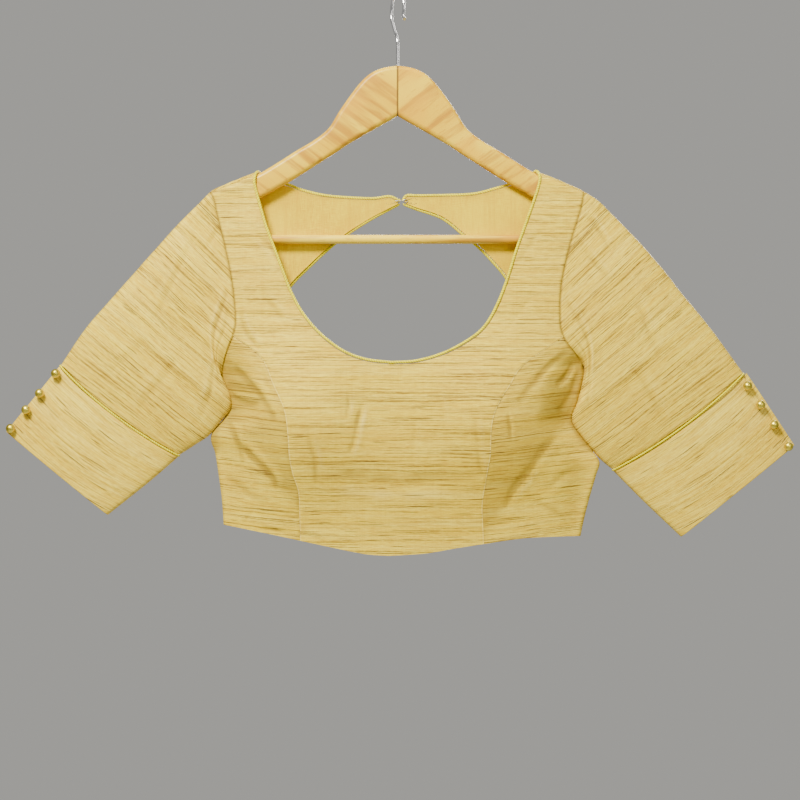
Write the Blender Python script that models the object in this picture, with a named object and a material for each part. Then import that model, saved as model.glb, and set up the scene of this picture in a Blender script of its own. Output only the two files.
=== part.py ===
"""Choli blouse of raw silk hung on a wooden hanger.

Frame: x to the viewer's right, y into the scene (the front of the blouse faces -y), z up.
The origin is the inner crown of the hanger's hook, where a rail carries it.
All tables are in millimetres; the meshes are made in metres.
"""
import math

import bmesh
import bpy
import numpy as np

MM = 0.001

# Cloth
WALL = 1.2              # silk with its turned edges
LINING_WALL = 1.0
SEAM = 0.3              # space between two sewn pieces
HALF_SEAM = SEAM / 2
SIDE_FOLD = 5.0         # radius of the fold along each side
RIDGE = 8.2             # radius of the cloth over the hanger's arms
SHOULDER_SEAM = 5.0     # the shoulder seam lies this far in front of the ridge, along the cloth
CUP_X = 102.0           # the fullest point of each cup, from the middle
CUP_WIDTH = 62.0
LENS = 120.0            # the front rounds away to its sides over this width
RIM_SETTLE = 30.0       # the side fold has grown to the full rim this far in
LENS_SETTLE = 45.0      # the rounding starts this far in
FRONT_SETTLE = 50.0     # below the ridge the front takes this long to reach its depth
BACK_SETTLE = 20.0
HALF_WIDTH = 214.0
NECK_CORD = 1.7         # radius of the piping
CORD_EDGE = NECK_CORD + SEAM + 0.1
CUFF_CORD = 1.2
CORD_ROOM = CUFF_CORD + SEAM
CORD_RAISE = -0.2       # the piping's centre against the outer face of the cloth
CENTRE_BACK = 4.0

# Hanger
ARM_THICK = 12.0
ARM_ROUND = 5.4
BAR_RADIUS = 4.9
BAR_Z = -271.0
HOOK_WIRE = 1.75
HOOK_RADIUS = 20.25
HOOK_TURN = math.radians(70)
# Height and run along the hook's own plane: its stem, then after the round part its tip
HOOK_STEM = ((0.0, -79.5), (0.0, -66.0), (0.0, -58.0), (-1.5, -50.0), (-7.0, -43.0))
HOOK_TIP = (22.0, -33.0)
HOOK_ARC = (222, -28)   # degrees, from the stem over the top to the tip

# Buttons
BUTTON = 5.0

# Hook and eye inside the ends of the back strips: x from the centre back, depth from the strip's face
EYE_AT = 4.5
EYE_SIZE = (2.4, 1.6)
EYE_WIRE = 0.4
EYE_DEPTH = 0.8
HOOK_SHAPE = ((-7, 2.0), (-2, 2.3), (3.5, 2.2), (4.4, 1.9))
HOOK_FLAT = 0.5
CLOSURE_ROOM = 1.0

# Depth of the cloth from the middle plane: z, front, added at the cups, back
DEPTHS = (
    (-625, 16, 0.0, 13.5),
    (-590, 18, 0.0, 13.5),
    (-550, 23, 2.0, 13.0),
    (-515, 27, 8.0, 12.5),
    (-475, 28, 13.0, 12.0),
    (-435, 27, 11.0, 11.5),
    (-395, 24, 5.0, 11.0),
    (-350, 20, 0.5, 10.5),
    (-300, 15, 0.0, 10.0),
    (-250, 11, 0.0, 9.9),
    (-190, 8.4, 0.0, 9.8),
)

# Where front and back close on each other: z, left x, right x.
# Above the underarm the line runs out into the sleeves and only shapes the cloth.
CLOSING = (
    (-620, -190.0, 197.0),
    (-584, -191.5, 204.0),
    (-556, -193.5, 211.0),
    (-530, -197.0, 218.5),
    (-516, -199.0, 221.0),
    (-505, -201.0, 213.5),
    (-492, -205.3, 203.5),
    (-484, -202.5, 198.0),
    (-470, -190.5, 191.0),
    (-456, -182.0, 194.6),
    (-447, -181.5, 197.5),
    (-437, -184.5, 199.8),
    (-419, -192.3, 202.6),
    (-410, -203.0, 203.4),
    (-395, -214.0, 220.0),
    (-340, -229.0, 243.0),
    (-280, -248.0, 258.0),
    (-220, -268.0, 275.0),
)

# The highest line of the shoulders: x, z
RIDGE_LINE = (
    (-270, -252.0), (-208, -219.4), (-176, -205.6), (-156, -197.4), (-120, -181.0), (-60, -145.0),
    (0, -115.0), (60, -145.0), (120, -180.0), (155, -196.8), (181, -207.6), (207, -219.0), (270, -251.0),
)

# Outlines of the pieces, each a row of x, z down or along the cloth
FRONT_ARMHOLE = {
    "left": ((-201, -229), (-198, -243), (-190.5, -273), (-183.5, -305), (-179.5, -330), (-177, -360),
             (-179, -375), (-184, -388), (-188.5, -402), (-192.3, -419)),
    "right": ((201, -237), (198, -247), (189.5, -274), (182, -305), (178, -330), (177.5, -360),
              (179.5, -374), (186, -387), (196, -399), (203, -410)),
}
BACK_ARMHOLE = {
    "left": ((-202, -226), (-198, -243), (-192, -273), (-187, -305), (-184, -335), (-183, -362),
             (-185, -384), (-188.5, -402), (-192.3, -419)),
    "right": ((201.5, -228), (198, -245), (192, -274), (187, -305), (184, -335), (183, -362),
              (187, -384), (195, -399), (203, -410)),
}
PRINCESS = {
    "left": ((-106.3, -601.2), (-107, -577), (-108, -548), (-114, -528), (-117.5, -508), (-119.2, -482),
             (-123, -458), (-135.3, -430), (-149.3, -400.6), (-162, -384)),
    "right": ((94.3, -604.8), (93.3, -583), (92.6, -560), (97, -530), (100.5, -508), (101.4, -482),
              (104, -465), (111, -449), (121.5, -432), (137.4, -409.3), (158, -390)),
}
FRONT_NECK = {
    "left": ((-157, -207.2), (-156, -214.5), (-150.5, -235), (-144, -257), (-135, -281), (-124, -310),
             (-117.5, -327), (-104, -352), (-84.6, -375), (-59.5, -394), (-34.5, -403.5), (-6.8, -406.8)),
    "right": ((156, -205.0), (152.5, -220), (141.4, -251.5), (130, -283), (118.5, -319), (107.5, -346),
              (95, -367), (79, -381), (51.5, -396), (21, -405), (-6.8, -406.8)),
}
BACK_NECK = {
    "left": ((-149, -201.0), (-135, -205.0), (-118, -210.5), (-106, -215.5), (-84, -221), (-61.7, -223.5),
             (-28, -225), (-9, -222.8), (2.6, -225.2)),
    "right": ((148, -200.0), (138, -204.0), (124, -209), (108, -214), (83, -220), (47, -221.5), (21, -221.8),
              (10, -221.8), (5.4, -225.2)),
}
KEYHOLE = {
    "left": ((3.0, -481.0), (-25, -480), (-58, -474), (-102, -453), (-128, -423), (-139, -387),
             (-135.6, -354), (-120, -324), (-94.4, -297.5), (-72, -277), (-55, -264), (-30.5, -248.5),
             (-12, -238.5), (2.6, -230.8)),
    "right": ((5.0, -481.0), (33, -480), (66, -474), (110, -452), (134, -420), (143, -381),
              (138, -343), (120, -313), (106, -296), (90, -279.5), (73, -265.5), (49.4, -247),
              (20, -236.5), (5.4, -230.8)),
}
SHOULDER_X = {"left": (-206.0, -155.5), "right": (204.5, 154.5)}
UNDERARM_Z = {"left": -419.0, "right": -410.0}
HEM_CORNER_Z = {"left": -584.5, "right": -597.0}
BACK_HEM_Z = -588.0
HEM_MIDDLE = (-10.0, -617.8)
FRONT_HEM = {
    "left": ((-156.5, -590.6), (-122, -597.7), (-106.3, -601.2), (-70, -609.1), (-35, -616)),
    "right": ((160, -597.5), (131, -599.5), (94.3, -604.8), (61, -610), (30, -615.3)),
}

# Sleeves, from the armhole to the cuff seam:
# share of the way, outer edge x, z, inner edge x, z, half its thickness, forward shift of the inner edge
SLEEVES = {
    "left": (
        (0.00, -208.0, -219.5, -192.5, -418.5, 9.0, 0.0),
        (0.10, -221.5, -233.0, -193.6, -420.6, 10.0, 0.5),
        (0.20, -236.0, -247.5, -193.6, -423.0, 11.5, 1.0),
        (0.30, -250.5, -263.0, -191.7, -427.5, 13.0, 2.0),
        (0.38, -263.5, -278.0, -185.8, -437.5, 14.0, 3.0),
        (0.46, -276.5, -292.5, -183.2, -449.0, 14.5, 4.0),
        (0.54, -290.0, -308.0, -184.6, -459.5, 15.0, 4.0),
        (0.62, -303.0, -322.5, -191.8, -468.5, 15.0, 3.0),
        (0.70, -318.5, -340.0, -204.6, -484.0, 14.5, 2.0),
        (0.85, -345.0, -371.0, -223.0, -497.5, 12.0, 1.0),
        (1.00, -371.0, -410.0, -240.4, -509.0, 9.0, 0.0),
    ),
    "right": (
        (0.00, 207.0, -219.0, 203.3, -409.8, 9.0, 0.0),
        (0.10, 223.0, -229.0, 204.9, -411.6, 10.0, 0.5),
        (0.20, 238.0, -244.0, 205.3, -414.6, 11.5, 1.0),
        (0.30, 254.0, -260.5, 204.8, -420.5, 13.0, 2.0),
        (0.38, 268.5, -276.0, 201.6, -436.5, 14.0, 3.0),
        (0.46, 284.0, -294.0, 197.2, -452.5, 14.5, 4.0),
        (0.54, 299.0, -312.0, 192.2, -465.5, 15.0, 4.0),
        (0.60, 311.0, -328.0, 193.2, -474.5, 15.0, 3.5),
        (0.68, 326.5, -346.5, 203.6, -490.0, 14.5, 2.5),
        (0.78, 345.5, -370.0, 219.0, -508.5, 13.0, 1.5),
        (0.90, 368.0, -401.0, 229.5, -519.0, 11.0, 0.5),
        (1.00, 380.7, -418.8, 236.7, -524.8, 9.0, 0.0),
    ),
}
SLEEVE_SAG = 6.5        # the cuff seam bows towards the hand
HEAD_BLEND = 0.5        # the armhole's own curve has faded out by this share of the sleeve

# Cuffs, from their seam to their hem: share, front slit edge x, z, inner edge x, z, half its thickness
CUFFS = {
    "left": (
        (0.0, -371.0, -410.0, -240.4, -509.0, 9.0),
        (0.35, -391.5, -435.5, -266.0, -531.5, 8.5),
        (1.0, -430.0, -482.5, -318.5, -574.0, 7.0),
    ),
    "right": (
        (0.0, 379.0, -421.0, 236.7, -524.8, 9.0),
        (0.35, 396.0, -446.0, 263.0, -551.5, 8.5),
        (1.0, 430.0, -494.5, 311.5, -598.0, 7.0),
    ),
}
BACK_LAYER_REACH = {"left": -2.0, "right": 6.0}     # the back layer beyond the front slit edge
BUTTONS_ALONG = {"left": (0.05, 0.35, 0.62, 0.93), "right": (0.15, 0.40, 0.66, 0.95)}
CUFF_WIDTH = 160.0      # insets along the cuff's seam are shares of this
BUTTON_INSET = 2.3
BUTTON_ROOM = 0.5       # between a button and the cloth
SLIT_FRONT = 2.4        # depth of the cuff's front layer at the slit
SLIT_BACK = 1.0

# Hanger arm outlines, one side: x, z of its upper and lower edge
ARM_UPPER = ((0.2, -80.0), (15, -82.3), (28, -87.5), (39, -96.5), (50, -110), (64, -130), (76, -149),
             (92, -162), (112, -174), (150, -197.5), (178, -209.4), (194, -217.2), (203, -224.5))
ARM_LOWER = ((208, -236), (210, -252), (208, -267), (202, -276), (196, -273), (192.5, -262),
             (180, -242), (150, -225.5), (120, -208.5), (95, -193), (72, -178.3), (50, -164),
             (16, -144.6), (0.2, -135.5))
BAR_END = 194.0
BAR_STOPS = (-1.0, -0.31, 0.31, 1.0)

# Divisions
BODY_ROWS = 17          # along the side and princess seams
ARMHOLE_STEPS = 20
MIDDLE_ROWS = 13        # up the middle of the front
BACK_MIDDLE_ROWS = 7    # up the middle of the back
FRONT_STEPS = 6         # across half the middle front
BACK_SHARES = (0, 0.006, 0.022, 0.045, 0.075, 0.12, 0.2, 0.35, 0.55, 0.78, 1)
SLEEVE_RINGS = 12
LINING_COLUMN = 6       # the lining that shows starts at this column of a back half
LINING_ROW = 13         # and at this row
CUFF_RINGS = 3
CORD_SIDES = 6

COLOURS = {
    "silk": ((0.73, 0.58, 0.27), 0.42, 0.0),
    "silk_side": ((0.70, 0.55, 0.25), 0.42, 0.0),
    "lining": ((0.83, 0.64, 0.24), 0.7, 0.0),
    "cord": ((0.80, 0.72, 0.14), 0.4, 0.0),
    "button": ((0.72, 0.58, 0.10), 0.3, 0.8),
    "wood": ((0.80, 0.50, 0.16), 0.4, 0.0),
    "chrome": ((0.62, 0.62, 0.63), 0.2, 1.0),
}


def smooth(value):
    """Ease from 0 to 1."""
    value = min(max(value, 0.0), 1.0)
    return value * value * (3 - 2 * value)


def eased_table(rows, column):
    """A smooth function through one column of a table sorted by its first column."""
    rows = sorted(rows)
    keys = np.array([row[0] for row in rows], float)
    values = np.array([row[column] for row in rows], float)
    slopes = np.gradient(values, keys)

    def read(key):
        key = min(max(key, keys[0]), keys[-1])
        at = min(max(int(np.searchsorted(keys, key)) - 1, 0), len(keys) - 2)
        span = keys[at + 1] - keys[at]
        part = (key - keys[at]) / span
        start = (1 + 2 * part) * (1 - part) ** 2 * values[at] + part * (1 - part) ** 2 * span * slopes[at]
        end = part ** 2 * (3 - 2 * part) * values[at + 1] - part ** 2 * (1 - part) * span * slopes[at + 1]
        return float(start + end)

    return read


FRONT_DEPTH = eased_table(DEPTHS, 1)
CUP_DEPTH = eased_table(DEPTHS, 2)
BACK_DEPTH = eased_table(DEPTHS, 3)
CLOSE = {"left": eased_table(CLOSING, 1), "right": eased_table(CLOSING, 2)}
RIDGE_HEIGHT = eased_table(RIDGE_LINE, 1)


def spline(points, shares):
    """Points at given shares of the length of a smooth curve through a row of points."""
    points = np.array(points, float)
    padded = np.vstack([2 * points[0] - points[1], points, 2 * points[-1] - points[-2]])
    dense = []
    for index in range(len(points) - 1):
        before, start, end, after = padded[index:index + 4]
        for step in np.linspace(0, 1, 12, endpoint=False):
            curve = (2 * start + (end - before) * step
                     + (2 * before - 5 * start + 4 * end - after) * step ** 2
                     + (3 * start - before - 3 * end + after) * step ** 3) / 2
            dense.append(curve)
    dense.append(points[-1])
    dense = np.array(dense)
    lengths = np.concatenate([[0], np.cumsum(np.linalg.norm(np.diff(dense, axis=0), axis=1))])
    targets = np.asarray(shares) * lengths[-1]
    return np.stack([np.interp(targets, lengths, dense[:, axis]) for axis in range(dense.shape[1])], axis=1)


def even(steps):
    return np.linspace(0, 1, steps + 1)


def lengths_along(line):
    """Each point's share of the length of a line of points."""
    steps = np.linalg.norm(np.diff(line, axis=0), axis=1)
    return np.concatenate([[0], np.cumsum(steps)]) / steps.sum()


def gathered(steps, pull=0.85):
    """Shares from 0 to 1 that crowd towards both ends."""
    flat = even(steps)
    return (1 - pull) * flat + pull * (1 - np.cos(np.pi * flat)) / 2


def flat_top(x):
    """Height of the shoulder ridge when the cloth over it is laid out flat."""
    return RIDGE_HEIGHT(x) + (math.pi / 2 - 1) * RIDGE


def from_edge(x, z):
    """The side that a point belongs to, and its distance in from where front and back close."""
    if x < CENTRE_BACK:
        return "left", max(x - CLOSE["left"](z), 0.0)
    return "right", max(CLOSE["right"](z) - x, 0.0)


def body_depth(x, z, back):
    """How far the front or back lies from the middle plane."""
    edge = from_edge(x, z)[1]
    turn = max(1 - edge / SIDE_FOLD, 0.0)
    rim = SIDE_FOLD * math.sqrt(max(1 - turn * turn, 0.0)) + (RIDGE - SIDE_FOLD) * smooth(edge / RIM_SETTLE)
    lens = 1 - (1 - min(max(HALF_WIDTH - abs(x), 0.0) / LENS, 1.0)) ** 2
    inner = smooth(edge / LENS_SETTLE)
    if back:
        return rim + (BACK_DEPTH(z) - RIDGE) * lens * inner
    cup = CUP_DEPTH(z) * math.exp(-((abs(x - CENTRE_BACK) - CUP_X) / CUP_WIDTH) ** 2)
    return rim + ((FRONT_DEPTH(z) - RIDGE) * lens + cup) * inner


def lift(x, flat_z, back):
    """Place a point of the flat cloth on the body's outer surface."""
    top = RIDGE_HEIGHT(x)
    down = flat_top(x) - flat_z
    if down < RIDGE * math.pi / 2:
        angle = down / RIDGE
        depth = RIDGE * math.sin(angle)
        z = top - RIDGE * (1 - math.cos(angle))
    else:
        z = flat_z
        settle = smooth((down - RIDGE * math.pi / 2) / (BACK_SETTLE if back else FRONT_SETTLE))
        full = body_depth(x, z, back)
        depth = full if full < RIDGE else RIDGE + (full - RIDGE) * settle
    depth += HALF_SEAM
    return np.array([x, depth if back else -depth, z])


def outward(x, flat_z, back):
    """The outer surface's normal."""
    side, edge = from_edge(x, flat_z)
    away = -1.0 if side == "left" else 1.0
    facing = 1.0 if back else -1.0
    if edge < SIDE_FOLD:
        turn = 1 - edge / SIDE_FOLD
        lean = CLOSE[side](flat_z + 0.5) - CLOSE[side](flat_z - 0.5)
        sideways = np.array([away, 0.0, -away * lean]) / math.hypot(1.0, lean)
        return sideways * turn + np.array([0.0, facing, 0.0]) * math.sqrt(1 - turn * turn)
    along = lift(x + 0.4, flat_z, back) - lift(x - 0.4, flat_z, back)
    up = lift(x, flat_z + 0.4, back) - lift(x, flat_z - 0.4, back)
    normal = np.cross(along, up)
    normal /= np.linalg.norm(normal)
    return -normal if back else normal


def patch(bottom, top, outer, inner, across):
    """Fill four edge curves; rows run from bottom to top, each from the outer to the inner edge."""
    rows = len(outer)
    grid = np.zeros((rows, len(across), 2))
    for row in range(rows):
        rise = row / (rows - 1)
        for column, share in enumerate(across):
            sides = (1 - share) * outer[row] + share * inner[row]
            from_bottom = bottom[column] - (1 - share) * bottom[0] - share * bottom[-1]
            from_top = top[column] - (1 - share) * top[0] - share * top[-1]
            grid[row, column] = sides + (1 - rise) ** 2 * from_bottom + rise ** 3 * from_top
    return grid


def inset(grid, bottom, top, outer, inner):
    """Draw the edges of a flat grid in by the given amounts; the sides may have one for each row."""
    rows, columns = grid.shape[:2]
    edges = {
        "bottom": ((0, slice(None)), grid[3], np.full(columns, bottom, float)),
        "top": ((-1, slice(None)), grid[-4], np.full(columns, top, float)),
        "outer": ((slice(None), 0), grid[:, -1], np.broadcast_to(outer, (rows,)).astype(float)),
        "inner": ((slice(None), -1), grid[:, 0], np.broadcast_to(inner, (rows,)).astype(float)),
    }
    moved = grid.copy()
    normals = {}
    for name, (where, towards, amounts) in edges.items():
        line = grid[where]
        tangent = np.gradient(line, axis=0)
        tangent /= np.linalg.norm(tangent, axis=1)[:, None]
        normal = np.stack([-tangent[:, 1], tangent[:, 0]], axis=1)
        normal *= np.sign(np.sum(normal * (towards - line), axis=1))[:, None]
        normals[name] = normal
        moved[where] = line + normal * amounts[:, None]
    for row, end in ((0, "bottom"), (-1, "top")):
        for column, side in ((0, "outer"), (-1, "inner")):
            facings = np.array([normals[end][column], normals[side][row]])
            amounts = np.array([edges[end][2][column], edges[side][2][row]])
            moved[row, column] = grid[row, column] + np.linalg.solve(facings, amounts)
    return moved


def material(name):
    colour, roughness, metallic = COLOURS[name]
    made = bpy.data.materials.new(name)
    made.use_nodes = True
    shader = made.node_tree.nodes["Principled BSDF"]
    shader.inputs["Base Color"].default_value = (*colour, 1)
    shader.inputs["Roughness"].default_value = roughness
    shader.inputs["Metallic"].default_value = metallic
    return made


def finish(name, mesh, material_name):
    """Turn a bmesh in millimetres into a node of its own."""
    for vertex in mesh.verts:
        vertex.co *= MM
    bmesh.ops.recalc_face_normals(mesh, faces=mesh.faces)
    data = bpy.data.meshes.new(name)
    mesh.to_mesh(data)
    mesh.free()
    data.shade_smooth()
    data.set_sharp_from_angle(angle=math.radians(40))
    piece = bpy.data.objects.new(name, data)
    bpy.context.scene.collection.objects.link(piece)
    data.materials.append(material(material_name))
    return piece


def sheet(name, outside, inside, material_name, ring=False):
    """A closed wall between two grids of points; ring joins each row's end to its start."""
    mesh = bmesh.new()
    rows, columns = outside.shape[:2]
    outer, inner = [[[mesh.verts.new(point) for point in row] for row in grid] for grid in (outside, inside)]
    spans = [(column, (column + 1) % columns) for column in range(columns if ring else columns - 1)]
    for row in range(rows - 1):
        for here, there in spans:
            for skin in (outer, inner):
                mesh.faces.new((skin[row][here], skin[row][there],
                                skin[row + 1][there], skin[row + 1][here]))
    for row in (0, rows - 1):
        for here, there in spans:
            mesh.faces.new((outer[row][here], outer[row][there], inner[row][there], inner[row][here]))
    if not ring:
        for column in (0, columns - 1):
            for row in range(rows - 1):
                mesh.faces.new((outer[row][column], outer[row + 1][column],
                                inner[row + 1][column], inner[row][column]))
    bmesh.ops.triangulate(mesh, faces=mesh.faces)
    return finish(name, mesh, material_name)


def tube(name, path, radius, material_name, closed=False, sides=CORD_SIDES):
    """A round cord along a row of points."""
    path = np.array(path)
    count = len(path)
    if closed:
        ahead = np.roll(path, -1, axis=0) - np.roll(path, 1, axis=0)
    else:
        ahead = np.gradient(path, axis=0)
    ahead /= np.linalg.norm(ahead, axis=1)[:, None]
    across = np.cross(ahead[0], (0.0, 1.0, 0.1))
    mesh = bmesh.new()
    rings = []
    for index in range(count):
        across = across - ahead[index] * np.dot(across, ahead[index])
        across /= np.linalg.norm(across)
        other = np.cross(ahead[index], across)
        turns = np.linspace(0, 2 * math.pi, sides, endpoint=False)
        rings.append([mesh.verts.new(path[index] + radius * (math.cos(turn) * across
                                                             + math.sin(turn) * other)) for turn in turns])
    shift = 0
    if closed:
        gaps = [sum((rings[-1][side].co - rings[0][(side + offset) % sides].co).length for side in range(sides))
                for offset in range(sides)]
        shift = int(np.argmin(gaps))
    for index in range(count if closed else count - 1):
        last = index == count - 1
        start, end = rings[index], rings[(index + 1) % count]
        for side in range(sides):
            turned = side + (shift if last else 0)
            mesh.faces.new((start[side], start[(side + 1) % sides],
                            end[(turned + 1) % sides], end[turned % sides]))
    if not closed:
        mesh.faces.new(rings[0])
        mesh.faces.new(rings[-1])
    return finish(name, mesh, material_name)


def raise_grid(grid, back, wall=WALL, under=0.0):
    """Outer and inner faces of a flat grid laid on the front or back of the body."""
    shape = (*grid.shape[:2], 3)
    points = np.array([lift(x, z, back) for x, z in grid.reshape(-1, 2)]).reshape(shape)
    normals = np.array([outward(x, z, back) for x, z in grid.reshape(-1, 2)]).reshape(shape)
    return points - normals * under, points - normals * (under + wall)


def shoulder_line(side, back):
    """The shoulder seam on the flat cloth, from the armhole to the neck."""
    offset = SHOULDER_SEAM if back else -SHOULDER_SEAM
    return np.array([(x, flat_top(x) + offset) for x in np.linspace(*SHOULDER_X[side], FRONT_STEPS + 1)])


def armhole(side, back):
    """The armhole seam on the flat cloth, from the underarm to the shoulder seam."""
    shoulder = shoulder_line(side, back)[0]
    rows = (BACK_ARMHOLE if back else FRONT_ARMHOLE)[side]
    return spline([shoulder, *rows], gathered(ARMHOLE_STEPS))[::-1]


def princess_top(side):
    """Which step of the front armhole the princess seam runs into."""
    end = np.array(PRINCESS[side][-1])
    return int(np.argmin(np.linalg.norm(armhole(side, False) - end, axis=1)))


def princess(side):
    """The princess seam from the hem to the armhole."""
    end = armhole(side, False)[princess_top(side)]
    return spline([*PRINCESS[side][:-1], end], even(BODY_ROWS))


def side_seam(side):
    """The side seam from the hem to the underarm."""
    heights = np.linspace(HEM_CORNER_Z[side], UNDERARM_Z[side], 40)
    return spline([(CLOSE[side](z), z) for z in heights], even(BODY_ROWS))


def front_hem(side):
    """The whole half hem, from the side seam to the middle."""
    corner = (CLOSE[side](HEM_CORNER_Z[side]), HEM_CORNER_Z[side])
    return [corner, *FRONT_HEM[side], HEM_MIDDLE]


def hem_between(side, start_x, end_x, shares):
    """A stretch of the front hem."""
    dense = spline(front_hem(side), even(200))
    order = np.argsort(dense[:, 0])
    xs = start_x + (end_x - start_x) * np.asarray(shares)
    return np.stack([xs, np.interp(xs, dense[order, 0], dense[order, 1])], axis=1)


def front_side(side):
    """Side panel of the front, from the side seam to the princess seam."""
    top = armhole(side, False)[:princess_top(side) + 1]
    across = lengths_along(top)
    outer = side_seam(side)
    inner = princess(side)
    bottom = hem_between(side, outer[0][0], inner[0][0], across)
    outer[0], inner[0] = bottom[0], bottom[-1]
    grid = inset(patch(bottom, top, outer, inner, across), 0.0, HALF_SEAM, 0.0, HALF_SEAM)
    sheet("front_side_" + side, *raise_grid(grid, False), "silk_side")


def front_half(side):
    """Flat grid of half the middle front, and its neckline from the middle to the shoulder seam."""
    outer = np.vstack([princess(side), armhole(side, False)[princess_top(side) + 1:]])
    middle = spline([HEM_MIDDLE, FRONT_NECK[side][-1]], even(MIDDLE_ROWS))
    neck = [*FRONT_NECK[side][::-1], shoulder_line(side, False)[-1]]
    neck = spline(neck, lengths_along(outer[MIDDLE_ROWS:]))
    inner = np.vstack([middle, neck[1:]])
    across = even(FRONT_STEPS)
    bottom = hem_between(side, outer[0][0], HEM_MIDDLE[0], across)
    outer[0], inner[0] = bottom[0], bottom[-1]
    edge = np.array([0.0] * MIDDLE_ROWS + [CORD_EDGE] * len(neck))
    grid = patch(bottom, shoulder_line(side, False), outer, inner, across)
    grid = inset(grid, 0.0, HALF_SEAM, HALF_SEAM, edge)
    grid[MIDDLE_ROWS, -1] = neck[0] - np.array([0.0, CORD_EDGE])
    return grid, neck


def front_centre():
    """Middle panel of the front with both shoulder straps; its halves share the middle line."""
    halves = [raise_grid(front_half(side)[0], False) for side in ("left", "right")]
    mesh = bmesh.new()
    rows, columns = halves[0][0].shape[:2]
    middle = MIDDLE_ROWS + 1
    skins = []
    for skin in range(2):
        left = [[mesh.verts.new(point) for point in row] for row in halves[0][skin]]
        right = []
        for index, row in enumerate(halves[1][skin]):
            made = [mesh.verts.new(point) for point in row[:-1]]
            made.append(left[index][-1] if index < middle else mesh.verts.new(row[-1]))
            right.append(made)
        skins.append((left, right))
    for left, right in skins:
        for half in (left, right):
            for row in range(rows - 1):
                for column in range(columns - 1):
                    mesh.faces.new((half[row][column], half[row][column + 1],
                                    half[row + 1][column + 1], half[row + 1][column]))
    for half in range(2):
        out, back = skins[0][half], skins[1][half]
        for row in (0, rows - 1):
            for column in range(columns - 1):
                mesh.faces.new((out[row][column], out[row][column + 1],
                                back[row][column + 1], back[row][column]))
        for row in range(rows - 1):
            mesh.faces.new((out[row][0], out[row + 1][0], back[row + 1][0], back[row][0]))
            if row >= middle - 1:
                mesh.faces.new((out[row][-1], out[row + 1][-1], back[row + 1][-1], back[row][-1]))
    bmesh.ops.triangulate(mesh, faces=mesh.faces)
    finish("front_centre", mesh, "silk")


def back_grid(side):
    """Flat grid of a back half: hem, side seam, armhole and shoulder outside; keyhole inside."""
    shoulder = shoulder_line(side, True)
    outer = np.vstack([side_seam(side), armhole(side, True)[1:], shoulder[1:]])
    start = (CENTRE_BACK, KEYHOLE[side][0][1])
    below = spline([(CENTRE_BACK, BACK_HEM_Z), start], even(BACK_MIDDLE_ROWS))
    keyhole = spline([start, *KEYHOLE[side][1:]], lengths_along(outer[BACK_MIDDLE_ROWS:]))
    inner = np.vstack([below, keyhole[1:]])
    across = np.array(BACK_SHARES)
    hem = [outer[0], outer[0] * 0.6 + np.array([CENTRE_BACK, BACK_HEM_Z]) * 0.4, (CENTRE_BACK, BACK_HEM_Z)]
    bottom = spline(hem, across)
    corner = (np.array(BACK_NECK[side][-1]) + np.array(KEYHOLE[side][-1])) / 2
    top = spline([shoulder[-1], *BACK_NECK[side][:-1], corner], across)
    inner[-1] = corner
    grid = patch(bottom, top, outer, inner, across)
    edge = np.array([HALF_SEAM] * BACK_MIDDLE_ROWS + [CORD_EDGE] * len(keyhole))
    sewn = np.array([0.0] * (BODY_ROWS + 1) + [HALF_SEAM] * (len(outer) - BODY_ROWS - 1))
    grid = inset(grid, 0.0, CORD_EDGE, sewn, edge)
    away = -1.0 if side == "left" else 1.0
    grid[BACK_MIDDLE_ROWS, -1] = (CENTRE_BACK + away * HALF_SEAM, start[1] - CORD_EDGE)
    return grid, top, keyhole


def backs(side):
    """Back half and the lining that shows through the neck."""
    grid = back_grid(side)[0]
    sheet("back_" + side, *raise_grid(grid, True), "silk")
    shown = grid[LINING_ROW:, LINING_COLUMN:]
    lining = raise_grid(shown, True, LINING_WALL, WALL + SEAM)
    sheet("back_lining_" + side, *lining, "lining")


def blunt(share, power=2.6):
    """Half the thickness of a flattened tube at a share of its width."""
    return max(1 - abs(2 * share - 1) ** power, 0.0) ** (1 / power)


def sleeve_reader(side):
    return [eased_table(SLEEVES[side], column) for column in range(1, 7)]


def flat_ring(reader, share, spots, short=0.0):
    """One ring of the sleeve: front layer from the outer to the inner edge, then the back layer."""
    top_x, top_z, low_x, low_z, half, forward = (read(share) for read in reader)
    top = np.array([top_x, 0.0, top_z])
    low = np.array([low_x, 0.0, low_z])
    chord = low - top
    bow = np.array([chord[2], 0.0, -chord[0]]) / np.linalg.norm(chord)
    if bow[2] > 0:
        bow = -bow
    ring = []
    for spot, layer in spots:
        point = top + chord * spot + bow * (SLEEVE_SAG * share * 4 * spot * (1 - spot) - short)
        point[1] = layer * half * blunt(spot) - forward * smooth((spot - 0.4) / 0.6)
        ring.append(point)
    return np.array(ring)


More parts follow.
